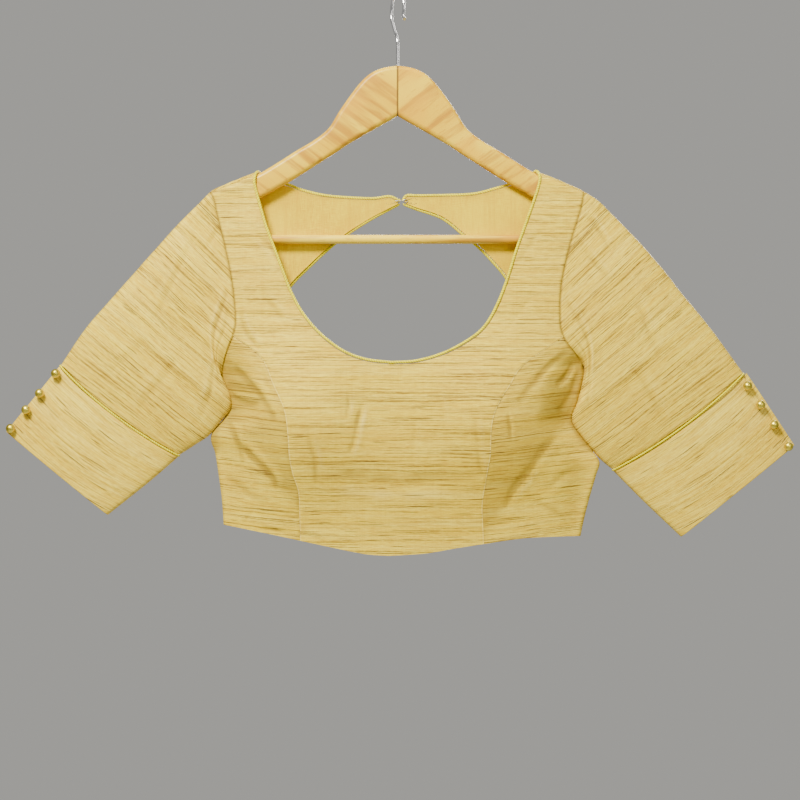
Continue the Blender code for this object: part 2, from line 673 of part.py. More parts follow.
def sleeve(side):
    """Sleeve tube from the armhole to the cuff seam."""
    front, back = armhole(side, False)[::-1], armhole(side, True)
    out = -1.0 if side == "left" else 1.0
    seam, normals, raised = [], [], []
    for flat, on_back in ((front, False), (back[1:-1], True)):
        slope = np.gradient(flat, axis=0)
        for point, run in zip(flat, slope):
            away = np.array([-run[1], run[0]]) / np.linalg.norm(run)
            if away[0] * out < 0:
                away = -away
            moved = point + away * HALF_SEAM
            seam.append(lift(moved[0], moved[1], on_back))
            normals.append(outward(moved[0], moved[1], on_back))
            raised.append((away[0], 0.0, away[1]))
    under = len(front) - 1
    seam[under] += np.array([out * SEAM, 0.0, SEAM])
    seam[under][1] = 0.0
    raised[under] = (0.0, 0.0, 1.0)
    near = np.clip(1 - np.abs(np.arange(len(seam)) - under) / 5, 0, 1)[:, None]
    tuck = SEAM + (WALL - SEAM) * near
    normals = np.array(normals)
    seam = np.array(seam) + np.array(raised) * SEAM * near

    front_share, back_share = lengths_along(front), lengths_along(back)
    spots = [(spot, -1) for spot in front_share] + [(1 - spot, 1) for spot in back_share[1:-1]]
    reader = sleeve_reader(side)
    start = flat_ring(reader, 0.0, spots)
    rings = []
    for share in even(SLEEVE_RINGS):
        keep = 1 - smooth(share / HEAD_BLEND)
        rings.append(flat_ring(reader, share, spots, share * CORD_ROOM) + keep * (seam - start))
    rings = np.array(rings)
    along = np.gradient(rings, axis=0)
    around = np.roll(rings, -1, axis=1) - np.roll(rings, 1, axis=1)
    facing = np.cross(around, along)
    facing /= np.linalg.norm(facing, axis=2)[:, :, None]
    middle = rings.mean(axis=1)[:, None, :]
    if np.sum(facing * (rings - middle)) < 0:
        facing = -facing
    facing[0] = normals
    inside = rings - WALL * facing
    inside[0] += np.array(raised) * tuck
    sheet("sleeve_" + side, rings, inside, "silk", ring=True)
    cord = flat_ring(reader, 1.0, spots)
    tube("cuff_piping_" + side, cord, CUFF_CORD, "cord", closed=True)


def cuff_point(side, share, spot, layer):
    """A point of the cuff; layer is -1 on the front and 1 on the back."""
    top_x, top_z, low_x, low_z, half = (eased_table(CUFFS[side], column)(share) for column in range(1, 6))
    top = np.array([top_x, 0.0, top_z])
    low = np.array([low_x, 0.0, low_z])
    chord = low - top
    bow = np.array([chord[2], 0.0, -chord[0]]) / np.linalg.norm(chord)
    if bow[2] > 0:
        bow = -bow
    point = top + chord * spot + bow * (1 - share) * (SLEEVE_SAG * 4 * spot * (1 - spot) + CORD_ROOM)
    slit = SLIT_FRONT if layer < 0 else SLIT_BACK
    thick = half * blunt(max(spot, 0.0))
    if spot < 0.5:
        thick = slit + (half - slit) * (1 - (1 - min(2 * max(spot, 0.0), 1.0)) ** 2)
    point[1] = layer * thick
    return point


def cuff(side):
    """Deep cuff, open along its outer edge where the front layer laps the back one."""
    reach = -BACK_LAYER_REACH[side] / CUFF_WIDTH
    front = gathered(9, 0.5)
    rear = reach + (1 - reach) * gathered(9, 0.5)[::-1]
    spots = [(spot, -1) for spot in front] + [(spot, 1) for spot in rear[1:]]
    grid = []
    for share in even(CUFF_RINGS):
        grid.append([cuff_point(side, share, spot, layer) for spot, layer in spots])
    grid = np.array(grid)
    along = np.gradient(grid, axis=0)
    around = np.gradient(grid, axis=1)
    facing = np.cross(around, along)
    facing /= np.linalg.norm(facing, axis=2)[:, :, None]
    if facing[1, 4, 1] > 0:
        facing = -facing
    sheet("cuff_" + side, grid, grid - WALL * facing, "silk_side")
    for index, share in enumerate(BUTTONS_ALONG[side], start=1):
        seat = cuff_point(side, share, BUTTON_INSET / CUFF_WIDTH, -1)
        seat[1] -= BUTTON + BUTTON_ROOM
        ball("cuff_button_%s_%d" % (side, index), seat, BUTTON)


def ball(name, centre, radius):
    mesh = bmesh.new()
    bmesh.ops.create_uvsphere(mesh, u_segments=10, v_segments=6, radius=radius)
    for vertex in mesh.verts:
        vertex.co.x += centre[0]
        vertex.co.y += centre[1]
        vertex.co.z += centre[2]
    finish(name, mesh, "button")


def edge_line(points, back):
    """A cord's centre line along an edge of the flat cloth."""
    return [lift(x, z, back) + outward(x, z, back) * CORD_RAISE for x, z in points]


def piping():
    """Cords along the neck and the keyhole."""
    path = []
    for side in ("left", "right"):
        top, keyhole = back_grid(side)[1:]
        behind = edge_line([*top[:-1], BACK_NECK[side][-1]], True)[::-1]
        ahead = edge_line(front_half(side)[1][::-1], False)
        path.append(behind[:-1] + [(behind[-1] + ahead[0]) / 2] + ahead[1:])
        hole = [KEYHOLE[side][0], *keyhole[1:-1], KEYHOLE[side][-1]]
        tube("keyhole_piping_" + side, edge_line(hole, True), NECK_CORD, "cord")
    tube("neck_piping", path[0] + path[1][::-1][1:], NECK_CORD, "cord")


def closure():
    """Hook and eye inside the ends of the two back strips."""
    z = (BACK_NECK["left"][-1][1] + KEYHOLE["left"][-1][1]) / 2
    face = lift(CENTRE_BACK, z, True)[1] - NECK_CORD - CLOSURE_ROOM
    turns = np.linspace(math.radians(20), math.radians(340), 9)
    eye = [(CENTRE_BACK + EYE_AT - EYE_SIZE[0] * math.cos(turn), face - EYE_DEPTH,
            z + EYE_SIZE[1] * math.sin(turn)) for turn in turns]
    tube("back_eye", eye[::-1], EYE_WIRE, "chrome", sides=5)
    hook = [(CENTRE_BACK + x, face - depth, z) for x, depth in HOOK_SHAPE]
    tube("back_hook", hook, HOOK_FLAT, "chrome", sides=5)


def hanger():
    """Two arms mitred at the middle, a trouser bar and a swivel hook."""
    for side, sign in (("left", -1), ("right", 1)):
        outline = [*ARM_UPPER, *ARM_LOWER]
        mesh = bmesh.new()
        loop = [mesh.verts.new((sign * x, -ARM_THICK / 2, z)) for x, z in outline]
        face = mesh.faces.new(loop)
        swept = bmesh.ops.extrude_face_region(mesh, geom=[face])
        for item in swept["geom"]:
            if isinstance(item, bmesh.types.BMVert):
                item.co.y += ARM_THICK
        bmesh.ops.recalc_face_normals(mesh, faces=mesh.faces)
        rims = [edge for edge in mesh.edges
                if abs(edge.verts[0].co.y - edge.verts[1].co.y) < 0.01
                and not all(abs(vertex.co.x) < 1.0 for vertex in edge.verts)]
        bmesh.ops.bevel(mesh, geom=rims, offset=ARM_ROUND, segments=3, profile=0.5, affect="EDGES",
                        clamp_overlap=True)
        bmesh.ops.triangulate(mesh, faces=mesh.faces)
        finish("hanger_arm_" + side, mesh, "wood")
    bar = [((BAR_END - SEAM) * stop, 0, BAR_Z) for stop in BAR_STOPS]
    tube("hanger_bar", bar, BAR_RADIUS, "wood", sides=12)
    centre_z = HOOK_WIRE - HOOK_RADIUS
    path = list(HOOK_STEM)
    for turn in np.radians(np.linspace(*HOOK_ARC, 20)):
        path.append((HOOK_RADIUS * math.cos(turn), centre_z + HOOK_RADIUS * math.sin(turn)))
    path.append(HOOK_TIP)
    wire = [(run * math.cos(HOOK_TURN), -run * math.sin(HOOK_TURN), z) for run, z in path]
    tube("hanger_hook", wire, HOOK_WIRE, "chrome", sides=8)


def build():
    for piece in list(bpy.data.objects):
        bpy.data.objects.remove(piece, do_unlink=True)
    front_centre()
    for side in ("left", "right"):
        front_side(side)
        backs(side)
        sleeve(side)
        cuff(side)
    piping()
    closure()
    hanger()


build()
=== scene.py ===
"""The looks of a raw-silk choli blouse on a wooden hanger, laid out as a Blender add-on.

Frame: x to the viewer's right, y from the blouse's front to its back, z up, metres.
Tables are in millimetres. The origin is the inner crown of the hanger's hook.
Each cloth piece is a thin shell on the form of its solid, with seams and creases laid in one by one.
"""
import math

import bmesh
import bpy
import numpy as np
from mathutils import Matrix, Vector


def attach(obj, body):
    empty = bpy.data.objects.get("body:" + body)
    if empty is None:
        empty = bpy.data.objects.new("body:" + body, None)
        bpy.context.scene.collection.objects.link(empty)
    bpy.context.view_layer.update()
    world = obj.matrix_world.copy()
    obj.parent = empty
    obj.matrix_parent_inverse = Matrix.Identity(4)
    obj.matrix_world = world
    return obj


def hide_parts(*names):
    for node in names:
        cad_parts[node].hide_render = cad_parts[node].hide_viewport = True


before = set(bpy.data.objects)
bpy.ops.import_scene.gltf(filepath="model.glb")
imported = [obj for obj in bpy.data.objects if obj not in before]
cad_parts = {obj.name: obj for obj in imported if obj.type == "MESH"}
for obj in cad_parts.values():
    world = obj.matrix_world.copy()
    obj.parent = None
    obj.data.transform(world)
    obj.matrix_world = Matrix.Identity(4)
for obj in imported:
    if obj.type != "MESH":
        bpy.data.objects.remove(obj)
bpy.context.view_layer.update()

bl_info = {
    "name": "Choli blouse on a hanger",
    "version": (1, 0, 0),
    "blender": (4, 5, 0),
    "location": "View3D > Sidebar > Choli",
    "description": "Builds the looks of a raw-silk choli blouse hung on a wooden hanger",
    "category": "Object",
}

MM = 0.001
BODY = "root"
SIDES = ("left", "right")

# Cloth
WALL = 1.2
LINING_WALL = 1.0
SEAM = 0.3
HALF_SEAM = SEAM / 2
SIDE_FOLD = 5.0
RIDGE = 8.2
SHOULDER_SEAM = 5.0
CUP_X = 102.0
CUP_WIDTH = 62.0
LENS = 120.0
RIM_SETTLE = 30.0
LENS_SETTLE = 45.0
FRONT_SETTLE = 50.0
BACK_SETTLE = 20.0
HALF_WIDTH = 214.0
NECK_CORD = 1.7
CORD_EDGE = NECK_CORD + SEAM + 0.1
CUFF_CORD = 1.2
CORD_ROOM = CUFF_CORD + SEAM
CORD_RAISE = -0.2
CENTRE_BACK = 4.0

# Hanger
ARM_THICK = 12.0
BAR_RADIUS = 4.9
BAR_Z = -271.0
BAR_END = 193.7
HOOK_WIRE = 1.75
HOOK_RADIUS = 20.25
HOOK_TURN = math.radians(70)
HOOK_STEM = ((0.0, -79.5), (0.0, -66.0), (0.0, -58.0), (-1.5, -50.0), (-7.0, -43.0))
HOOK_TIP = (22.0, -33.0)
HOOK_ARC = (222, -28)

# Depth of the cloth from the middle plane: z, front, added at the cups, back
DEPTHS = (
    (-625, 16, 0.0, 13.5), (-590, 18, 0.0, 13.5), (-550, 23, 2.0, 13.0), (-515, 27, 8.0, 12.5),
    (-475, 28, 13.0, 12.0), (-435, 27, 11.0, 11.5), (-395, 24, 5.0, 11.0), (-350, 20, 0.5, 10.5),
    (-300, 15, 0.0, 10.0), (-250, 11, 0.0, 9.9), (-190, 8.4, 0.0, 9.8),
)
# Where front and back close on each other: z, left x, right x
CLOSING = (
    (-620, -190.0, 197.0), (-584, -191.5, 204.0), (-556, -193.5, 211.0), (-530, -197.0, 218.5),
    (-516, -199.0, 222.2), (-505, -201.0, 215.8), (-492, -205.3, 205.6), (-484, -204.3, 199.3),
    (-470, -192.6, 192.3), (-456, -184.6, 196.6), (-447, -185.2, 199.4), (-437, -188.4, 201.9),
    (-428, -193.4, 203.9), (-419, -195.0, 205.8), (-410, -203.0, 204.6), (-395, -214.0, 220.0),
    (-340, -229.0, 243.0),
    (-280, -248.0, 258.0), (-220, -268.0, 275.0),
)
# The highest line of the shoulders: x, z
RIDGE_LINE = (
    (-270, -252.0), (-208, -219.4), (-176, -205.6), (-156, -197.4), (-120, -181.0), (-60, -145.0),
    (0, -115.0), (60, -145.0), (120, -180.0), (155, -196.8), (181, -207.6), (207, -219.0), (270, -251.0),
)
# Outlines of the pieces: rows of x, z
FRONT_ARMHOLE = {
    "left": ((-201, -229), (-198, -243), (-190.5, -273), (-183.5, -305), (-179.5, -330), (-177, -360),
             (-179, -375), (-184, -388), (-188.5, -402), (-192.3, -419)),
    "right": ((201, -237), (198, -247), (189.5, -274), (182, -305), (178, -330), (177.5, -360),
              (179.5, -374), (186, -387), (196, -399), (203, -410)),
}
BACK_ARMHOLE = {
    "left": ((-202, -226), (-198, -243), (-192, -273), (-187, -305), (-184, -335), (-183, -362),
             (-185, -384), (-188.5, -402), (-192.3, -419)),
    "right": ((201.5, -228), (198, -245), (192, -274), (187, -305), (184, -335), (183, -362),
              (187, -384), (195, -399), (203, -410)),
}
PRINCESS = {
    "left": ((-106.3, -601.2), (-107, -577), (-108, -548), (-114, -528), (-117.5, -508), (-119.2, -482),
             (-123, -458), (-135.3, -430), (-149.3, -400.6), (-162, -384)),
    "right": ((94.3, -604.8), (93.3, -583), (92.6, -560), (97, -530), (100.5, -508), (101.4, -482),
              (104, -465), (111, -449), (121.5, -432), (137.4, -409.3), (158, -390)),
}
FRONT_NECK = {
    "left": ((-157, -207.2), (-156, -214.5), (-150.5, -235), (-144, -257), (-135, -281), (-124, -310),
             (-117.5, -327), (-104, -352), (-84.6, -375), (-59.5, -394), (-34.5, -403.5), (-6.8, -406.8)),
    "right": ((156, -205.0), (152.5, -220), (141.4, -251.5), (130, -283), (118.5, -319), (107.5, -346),
              (95, -367), (79, -381), (51.5, -396), (21, -405), (-6.8, -406.8)),
}
BACK_NECK = {
    "left": ((-149, -201.0), (-135, -205.0), (-118, -210.5), (-106, -215.5), (-84, -221), (-61.7, -223.5),
             (-28, -225), (-9, -222.8), (2.6, -225.2)),
    "right": ((148, -200.0), (138, -204.0), (124, -209), (108, -214), (83, -220), (47, -221.5),
              (21, -221.8), (10, -221.8), (5.4, -225.2)),
}
KEYHOLE = {
    "left": ((3.0, -481.0), (-25, -480), (-58, -474), (-102, -453), (-128, -423), (-139, -387),
             (-135.6, -354), (-120, -324), (-94.4, -297.5), (-72, -277), (-55, -264), (-30.5, -248.5),
             (-12, -238.5), (2.6, -230.8)),
    "right": ((5.0, -481.0), (33, -480), (66, -474), (110, -452), (134, -420), (143, -381),
              (138, -343), (120, -313), (106, -296), (90, -279.5), (73, -265.5), (49.4, -247),
              (20, -236.5), (5.4, -230.8)),
}
SHOULDER_X = {"left": (-206.0, -155.5), "right": (204.5, 154.5)}
UNDERARM_Z = {"left": -419.0, "right": -410.0}
HEM_CORNER_Z = {"left": -584.5, "right": -597.0}
BACK_HEM_Z = -588.0
HEM_MIDDLE = (-10.0, -617.8)
FRONT_HEM = {
    "left": ((-156.5, -590.6), (-122, -597.7), (-106.3, -601.2), (-70, -609.1), (-35, -616)),
    "right": ((160, -597.5), (131, -599.5), (94.3, -604.8), (61, -610), (30, -615.3)),
}
# Sleeves: share of the way, outer edge x, z, inner edge x, z, half thickness, forward shift inside
SLEEVES = {
    "left": (
        (0.00, -208.0, -219.5, -192.5, -418.5, 9.0, 0.0), (0.10, -221.5, -233.0, -193.6, -420.6, 10.0, 0.5),
        (0.20, -236.0, -247.5, -193.6, -423.0, 11.5, 1.0), (0.30, -250.5, -263.0, -191.7, -427.5, 13.0, 2.0),
        (0.38, -263.5, -278.0, -185.8, -437.5, 14.0, 3.0), (0.46, -276.5, -292.5, -183.2, -449.0, 14.5, 4.0),
        (0.54, -290.0, -308.0, -184.6, -459.5, 15.0, 4.0), (0.62, -303.0, -322.5, -191.8, -468.5, 15.0, 3.0),
        (0.70, -318.5, -340.0, -204.6, -484.0, 14.5, 2.0), (0.85, -345.0, -371.0, -223.0, -497.5, 12.0, 1.0),
        (1.00, -371.0, -410.0, -240.4, -509.0, 9.0, 0.0),
    ),
    "right": (
        (0.00, 207.0, -219.0, 203.3, -409.8, 9.0, 0.0), (0.10, 223.0, -229.0, 204.9, -411.6, 10.0, 0.5),
        (0.20, 238.0, -244.0, 205.3, -414.6, 11.5, 1.0), (0.30, 254.0, -260.5, 204.8, -420.5, 13.0, 2.0),
        (0.38, 268.5, -276.0, 201.6, -436.5, 14.0, 3.0), (0.46, 284.0, -294.0, 197.2, -452.5, 14.5, 4.0),
        (0.54, 299.0, -312.0, 192.2, -465.5, 15.0, 4.0), (0.60, 311.0, -328.0, 193.2, -474.5, 15.0, 3.5),
        (0.68, 326.5, -346.5, 203.6, -490.0, 14.5, 2.5), (0.78, 345.5, -370.0, 219.0, -508.5, 13.0, 1.5),
        (0.90, 368.0, -401.0, 229.5, -519.0, 11.0, 0.5), (1.00, 380.7, -418.8, 236.7, -524.8, 9.0, 0.0),
    ),
}
SLEEVE_SAG = 6.5
HEAD_BLEND = 0.5
# Cuffs: share, front slit edge x, z, inner edge x, z, half thickness
CUFFS = {
    "left": ((0.0, -371.0, -410.0, -240.4, -509.0, 9.0), (0.35, -391.5, -435.5, -266.0, -531.5, 8.5),
             (1.0, -430.0, -482.5, -318.5, -574.0, 7.0)),
    "right": ((0.0, 379.0, -421.0, 236.7, -524.8, 9.0), (0.35, 396.0, -446.0, 263.0, -551.5, 8.5),
              (1.0, 432.5, -500.5, 311.5, -598.0, 7.0)),
}
CUFF_WIDTH = 160.0
BACK_LAYER_REACH = {"left": -2.0, "right": 5.0}
BUTTONS_ALONG = {"left": (0.08, 0.385, 0.64, 0.93), "right": (0.12, 0.41, 0.68, 0.96)}
BUTTON_INSET = 2.3
BUTTON_ROOM = 0.5
SLIT_FRONT = 2.4
SLIT_BACK = 1.0

# Hanger arm outlines, one side: x, z of its upper and lower edge
ARM_UPPER = ((0.2, -80.0), (15, -82.3), (28, -87.5), (39, -96.5), (50, -110), (64, -130), (76, -149),
             (92, -162), (112, -174), (150, -197.5), (178, -209.4), (194, -217.2), (203, -224.5))
ARM_LOWER = ((208, -236), (210, -252), (208, -267), (202, -276), (196, -273), (192.5, -262),
             (180, -242), (150, -225.5), (120, -208.5), (95, -193), (72, -178.3), (50, -164),
             (16, -144.6), (0.2, -135.5))


# What a user can change


def colour(name, description, default):
    return bpy.props.FloatVectorProperty(name=name, description=description, default=(*default, 1.0),
                                         size=4, min=0.0, max=1.0, subtype="COLOR")


def length(name, description, default):
    return bpy.props.FloatProperty(name=name, description=description, default=default * MM,
                                   min=0.0, precision=5, unit="LENGTH")


def share(name, description, default, high=1.0):
    return bpy.props.FloatProperty(name=name, description=description, default=default, min=0.0, max=high,
                                   subtype="FACTOR")


class CHOLI_PG_silk(bpy.types.PropertyGroup):
    """Raw silk of the blouse."""
    base: colour("Silk", "Main tone of the raw silk", (0.82, 0.59, 0.022))
    pale: colour("Pale threads", "Lighter weft threads", (0.94, 0.745, 0.085))
    deep: colour("Deep threads", "Darker weft threads", (0.54, 0.31, 0.018))
    # The slub colour also paints shade in folds, along seams and under the arms; the crest colour is a painted
    # highlight.
    slub: colour("Slubs", "The long dark slubs in the weft, and the shade in the folds", (0.20, 0.11, 0.010))
    knot: colour("Knots", "The few darkest knots", (0.10, 0.05, 0.015))
    crest: colour("Crests", "Cloth that catches the light beside a fold or along a seam", (1.0, 0.80, 0.20))
    cuff_base: colour("Cuff silk", "Main tone of the cuffs", (0.86, 0.625, 0.035))
    cuff_pale: colour("Cuff pale threads", "Lighter weft threads of the cuffs", (0.95, 0.765, 0.11))
    relief: length("Weave relief", "Height of the threads over the plain cloth", 0.22)
    fold_depth: share("Fold depth", "Depth of the creases, as a multiple of their listed depths", 2.0, 3.0)
    # Fold tone sets how strongly a fold's depth paints shade in its trough and a highlight on its ridge.
    fold_tone: share("Fold tone", "How strongly a fold's depth darkens it", 1.0, 3.0)


class CHOLI_PG_trim(bpy.types.PropertyGroup):
    """Lining, piping, buttons and closure."""
    lining: colour("Lining", "Main tone of the lining cotton", (0.82, 0.60, 0.0))
    lining_pale: colour("Lining, worn", "Lighter patches of the lining", (0.88, 0.66, 0.004))
    lining_deep: colour("Lining, deep", "Hollows between the lining's threads", (0.64, 0.38, 0.006))
    cord: colour("Piping", "Main tone of the twisted piping", (0.80, 0.68, 0.0))
    # The piping's bright colour is a painted highlight on its strands; its hollow colour is painted shade in
    # the grooves between strands, and also darkens random worn patches.
    cord_bright: colour("Piping, bright", "Strands that catch the light", (0.98, 0.90, 0.0))
    cord_groove_shade_and_wear: colour("Piping, hollow", "The dull line between two strands", (0.24, 0.17, 0.004))
    button: colour("Buttons", "Metal of the buttons", (0.75, 0.61, 0.07))
    button_dull: colour("Buttons, dull", "Dull patches of the buttons", (0.36, 0.27, 0.02))
    closure: colour("Hook and eye", "Wire of the hook and eye", (0.40, 0.39, 0.37))
    button_radius: length("Button radius", "Radius of each round button", 5.0)


class CHOLI_PG_hanger(bpy.types.PropertyGroup):
    """Wood and wire of the hanger."""
    wood: colour("Wood", "Main tone of the arms", (0.76, 0.455, 0.004))
    wood_pale: colour("Wood, pale", "Pale grain of the arms", (0.86, 0.58, 0.015))
    wood_deep: colour("Wood, deep", "Dark grain lines", (0.47, 0.21, 0.008))
    wood_warm: colour("Wood, warm", "Orange patches", (0.75, 0.38, 0.003))
    bar: colour("Bar", "Main tone of the trouser bar", (0.92, 0.64, 0.03))
    bar_pale: colour("Bar, pale", "Pale grain of the bar", (0.97, 0.72, 0.06))
    wire: colour("Hook wire", "Bright wire of the hook", (0.68, 0.68, 0.70))
    edge_radius: length("Edge radius", "Rounding of the arms' long edges", 5.4)


class CHOLI_PG_stage(bpy.types.PropertyGroup):
    """Camera, lights and backdrop."""
    backdrop: colour("Backdrop", "Plain soft light all round", (0.38, 0.374, 0.352))
    key: bpy.props.FloatProperty(name="Key light", description="Power of the main light",
                                 default=122.0, min=0.0, unit="POWER")
    fill: bpy.props.FloatProperty(name="Fill light", description="Power of the light from the right",
                                  default=20.0, min=0.0, unit="POWER")
    behind: bpy.props.FloatProperty(name="Back light", description="Power of the light on the back",
                                    default=70.0, min=0.0, unit="POWER")
    lens: bpy.props.FloatProperty(name="Lens", description="Focal length of the camera, in mm", default=81.8,
                                  min=1.0)
    floor: length("Floor depth", "How far the floor lies under the hook", 2300.0)


# Form: the same surfaces as the solids, read for whole grids of points at once


def smooth(value):
    value = np.clip(value, 0.0, 1.0)
    return value * value * (3 - 2 * value)


def eased_table(rows, column):
    """A smooth function through one column of a table sorted by its first column."""
    rows = sorted(rows)
    keys = np.array([row[0] for row in rows], float)
    values = np.array([row[column] for row in rows], float)
    slopes = np.gradient(values, keys)

    def read(key):
        key = np.clip(key, keys[0], keys[-1])
        at = np.clip(np.searchsorted(keys, key) - 1, 0, len(keys) - 2)
        span = keys[at + 1] - keys[at]
        part = (key - keys[at]) / span
        start = (1 + 2 * part) * (1 - part) ** 2 * values[at] + part * (1 - part) ** 2 * span * slopes[at]
        end = part ** 2 * (3 - 2 * part) * values[at + 1] - part ** 2 * (1 - part) * span * slopes[at + 1]
        return start + end

    return read


FRONT_DEPTH = eased_table(DEPTHS, 1)
CUP_DEPTH = eased_table(DEPTHS, 2)
BACK_DEPTH = eased_table(DEPTHS, 3)
CLOSE = {"left": eased_table(CLOSING, 1), "right": eased_table(CLOSING, 2)}
RIDGE_HEIGHT = eased_table(RIDGE_LINE, 1)


def spline(points, shares):
    """Points at given shares of the length of a smooth curve through a row of points."""
    points = np.array(points, float)
    padded = np.vstack([2 * points[0] - points[1], points, 2 * points[-1] - points[-2]])
    steps = np.linspace(0, 1, 12, endpoint=False)[:, None]
    dense = []
    for index in range(len(points) - 1):
        before, start, end, after = padded[index:index + 4]
        dense.append((2 * start + (end - before) * steps
                      + (2 * before - 5 * start + 4 * end - after) * steps ** 2
                      + (3 * start - before - 3 * end + after) * steps ** 3) / 2)
    dense = np.vstack(dense + [points[-1:]])
    lengths = np.concatenate([[0], np.cumsum(np.linalg.norm(np.diff(dense, axis=0), axis=1))])
    targets = np.asarray(shares) * lengths[-1]
    return np.stack([np.interp(targets, lengths, dense[:, axis]) for axis in range(dense.shape[1])], axis=1)


def even(steps):
    return np.linspace(0, 1, steps + 1)


def gathered(steps, pull=0.85):
    """Shares from 0 to 1 that crowd towards both ends."""
    flat = even(steps)
    return (1 - pull) * flat + pull * (1 - np.cos(np.pi * flat)) / 2


def run_of(line):
    """Length along a line of points, from its start."""
    return np.concatenate([[0], np.cumsum(np.linalg.norm(np.diff(line, axis=0), axis=1))])


def lengths_along(line):
    run = run_of(line)
    return run / run[-1]


def flat_top(x):
    """Height of the shoulder ridge when the cloth over it is laid out flat."""
    return RIDGE_HEIGHT(x) + (math.pi / 2 - 1) * RIDGE


def body_depth(x, z, back):
    """How far the front or back lies from the middle plane."""
    edge = np.where(x < CENTRE_BACK, x - CLOSE["left"](z), CLOSE["right"](z) - x).clip(0)
    turn = (1 - edge / SIDE_FOLD).clip(0)
    rim = SIDE_FOLD * np.sqrt((1 - turn * turn).clip(0)) + (RIDGE - SIDE_FOLD) * smooth(edge / RIM_SETTLE)
    lens = 1 - (1 - (np.clip(HALF_WIDTH - np.abs(x), 0, None) / LENS).clip(0, 1)) ** 2
    inner = smooth(edge / LENS_SETTLE)
    if back:
        return rim + (BACK_DEPTH(z) - RIDGE) * lens * inner
    cup = CUP_DEPTH(z) * np.exp(-((np.abs(x - CENTRE_BACK) - CUP_X) / CUP_WIDTH) ** 2)
    return rim + ((FRONT_DEPTH(z) - RIDGE) * lens + cup) * inner


def lift(flat, back):
    """Place points of the flat cloth on the body's outer surface."""
    x, flat_z = flat[..., 0], flat[..., 1]
    down = flat_top(x) - flat_z
    angle = down / RIDGE
    bend = down < RIDGE * math.pi / 2
    z = np.where(bend, RIDGE_HEIGHT(x) - RIDGE * (1 - np.cos(angle)), flat_z)
    settle = smooth((down - RIDGE * math.pi / 2) / (BACK_SETTLE if back else FRONT_SETTLE))
    full = body_depth(x, z, back)
    depth = np.where(full < RIDGE, full, RIDGE + (full - RIDGE) * settle)
    depth = np.where(bend, RIDGE * np.sin(angle), depth) + HALF_SEAM
    return np.stack([x, depth if back else -depth, z], axis=-1)


def unit(vectors):
    return vectors / np.linalg.norm(vectors, axis=-1, keepdims=True).clip(1e-9)


def outward(flat, back):
    """The outer surface's normal."""
    x, z = flat[..., 0], flat[..., 1]
    step = np.array([0.4, 0.0]), np.array([0.0, 0.4])
    along = lift(flat + step[0], back) - lift(flat - step[0], back)
    up = lift(flat + step[1], back) - lift(flat - step[1], back)
    normal = unit(np.cross(along, up)) * (-1 if back else 1)
    facing = 1.0 if back else -1.0
    for side, away in (("left", -1.0), ("right", 1.0)):
        mine = (x < CENTRE_BACK) if side == "left" else (x >= CENTRE_BACK)
        edge = np.abs(x - CLOSE[side](z)) * ((x - CLOSE[side](z)) * away < 0)
        turn = (1 - edge / SIDE_FOLD).clip(0, 1)
        lean = CLOSE[side](z + 0.5) - CLOSE[side](z - 0.5)
        flat_side = np.stack([np.full_like(lean, away), np.zeros_like(lean), -away * lean], axis=-1)
        flat_side = unit(flat_side)
        folded = flat_side * turn[..., None]
        folded[..., 1] += facing * np.sqrt(1 - turn * turn)
        use = mine & (edge < SIDE_FOLD) & (z < -380)
        normal = np.where(use[..., None], folded, normal)
    return normal


def patch(bottom, top, outer, inner, across):
    """Fill four edge curves; rows run from bottom to top, each from the outer to the inner edge."""
    share = across[None, :, None]
    rise = np.linspace(0, 1, len(outer))[:, None, None]
    sides = (1 - share) * outer[:, None] + share * inner[:, None]
    from_bottom = bottom - (1 - across[:, None]) * bottom[0] - across[:, None] * bottom[-1]
    from_top = top - (1 - across[:, None]) * top[0] - across[:, None] * top[-1]
    return sides + (1 - rise) ** 2 * from_bottom + rise ** 3 * from_top


def inset_patch(bottom, top, outer, inner, across, amounts):
    """A patch with its edges drawn in by the given amounts: bottom, top, outer and inner."""
    grid = patch(bottom, top, outer, inner, across)
    deep = max(grid.shape[0] // 5, 1)
    wheres = {"bottom": ((0, slice(None)), grid[deep]), "top": ((-1, slice(None)), grid[-1 - deep]),
              "outer": ((slice(None), 0), grid[:, -1]), "inner": ((slice(None), -1), grid[:, 0])}
    lines, normals, draws = {}, {}, {}
    for name, amount in zip(wheres, amounts):
        where, towards = wheres[name]
        line = grid[where]
        tangent = unit(np.gradient(line, axis=0))
        normal = np.stack([-tangent[:, 1], tangent[:, 0]], axis=1)
        normal *= np.sign(np.sum(normal * (towards - line), axis=1))[:, None]
        normals[name] = normal
        draws[name] = np.broadcast_to(amount, (len(line),)).astype(float)
        lines[name] = line + normal * draws[name][:, None]
    for row, end in ((0, "bottom"), (-1, "top")):
        for column, side in ((0, "outer"), (-1, "inner")):
            facings = np.array([normals[end][column], normals[side][row]])
            corner = grid[row, column] + np.linalg.solve(facings, [draws[end][column], draws[side][row]])
            lines[end][column] = corner
            lines[side][row] = corner
    return patch(lines["bottom"], lines["top"], lines["outer"], lines["inner"], across)


def shoulder_line(side, back, steps):
    offset = SHOULDER_SEAM if back else -SHOULDER_SEAM
    xs = np.interp(steps, (0, 1), SHOULDER_X[side])
    return np.stack([xs, flat_top(xs) + offset], axis=1)


def armhole_points(side, back):
    """The armhole seam on the flat cloth, from the underarm to the shoulder seam."""
    shoulder = shoulder_line(side, back, np.array([0.0, 1.0]))[0]
    return [shoulder, *(BACK_ARMHOLE if back else FRONT_ARMHOLE)[side]][::-1]


def princess_meets(side):
    """How far up the front armhole the princess seam ends."""
    shares = even(400)
    line = spline(armhole_points(side, False), shares)
    return shares[np.argmin(np.linalg.norm(line - np.array(PRINCESS[side][-1]), axis=1))]


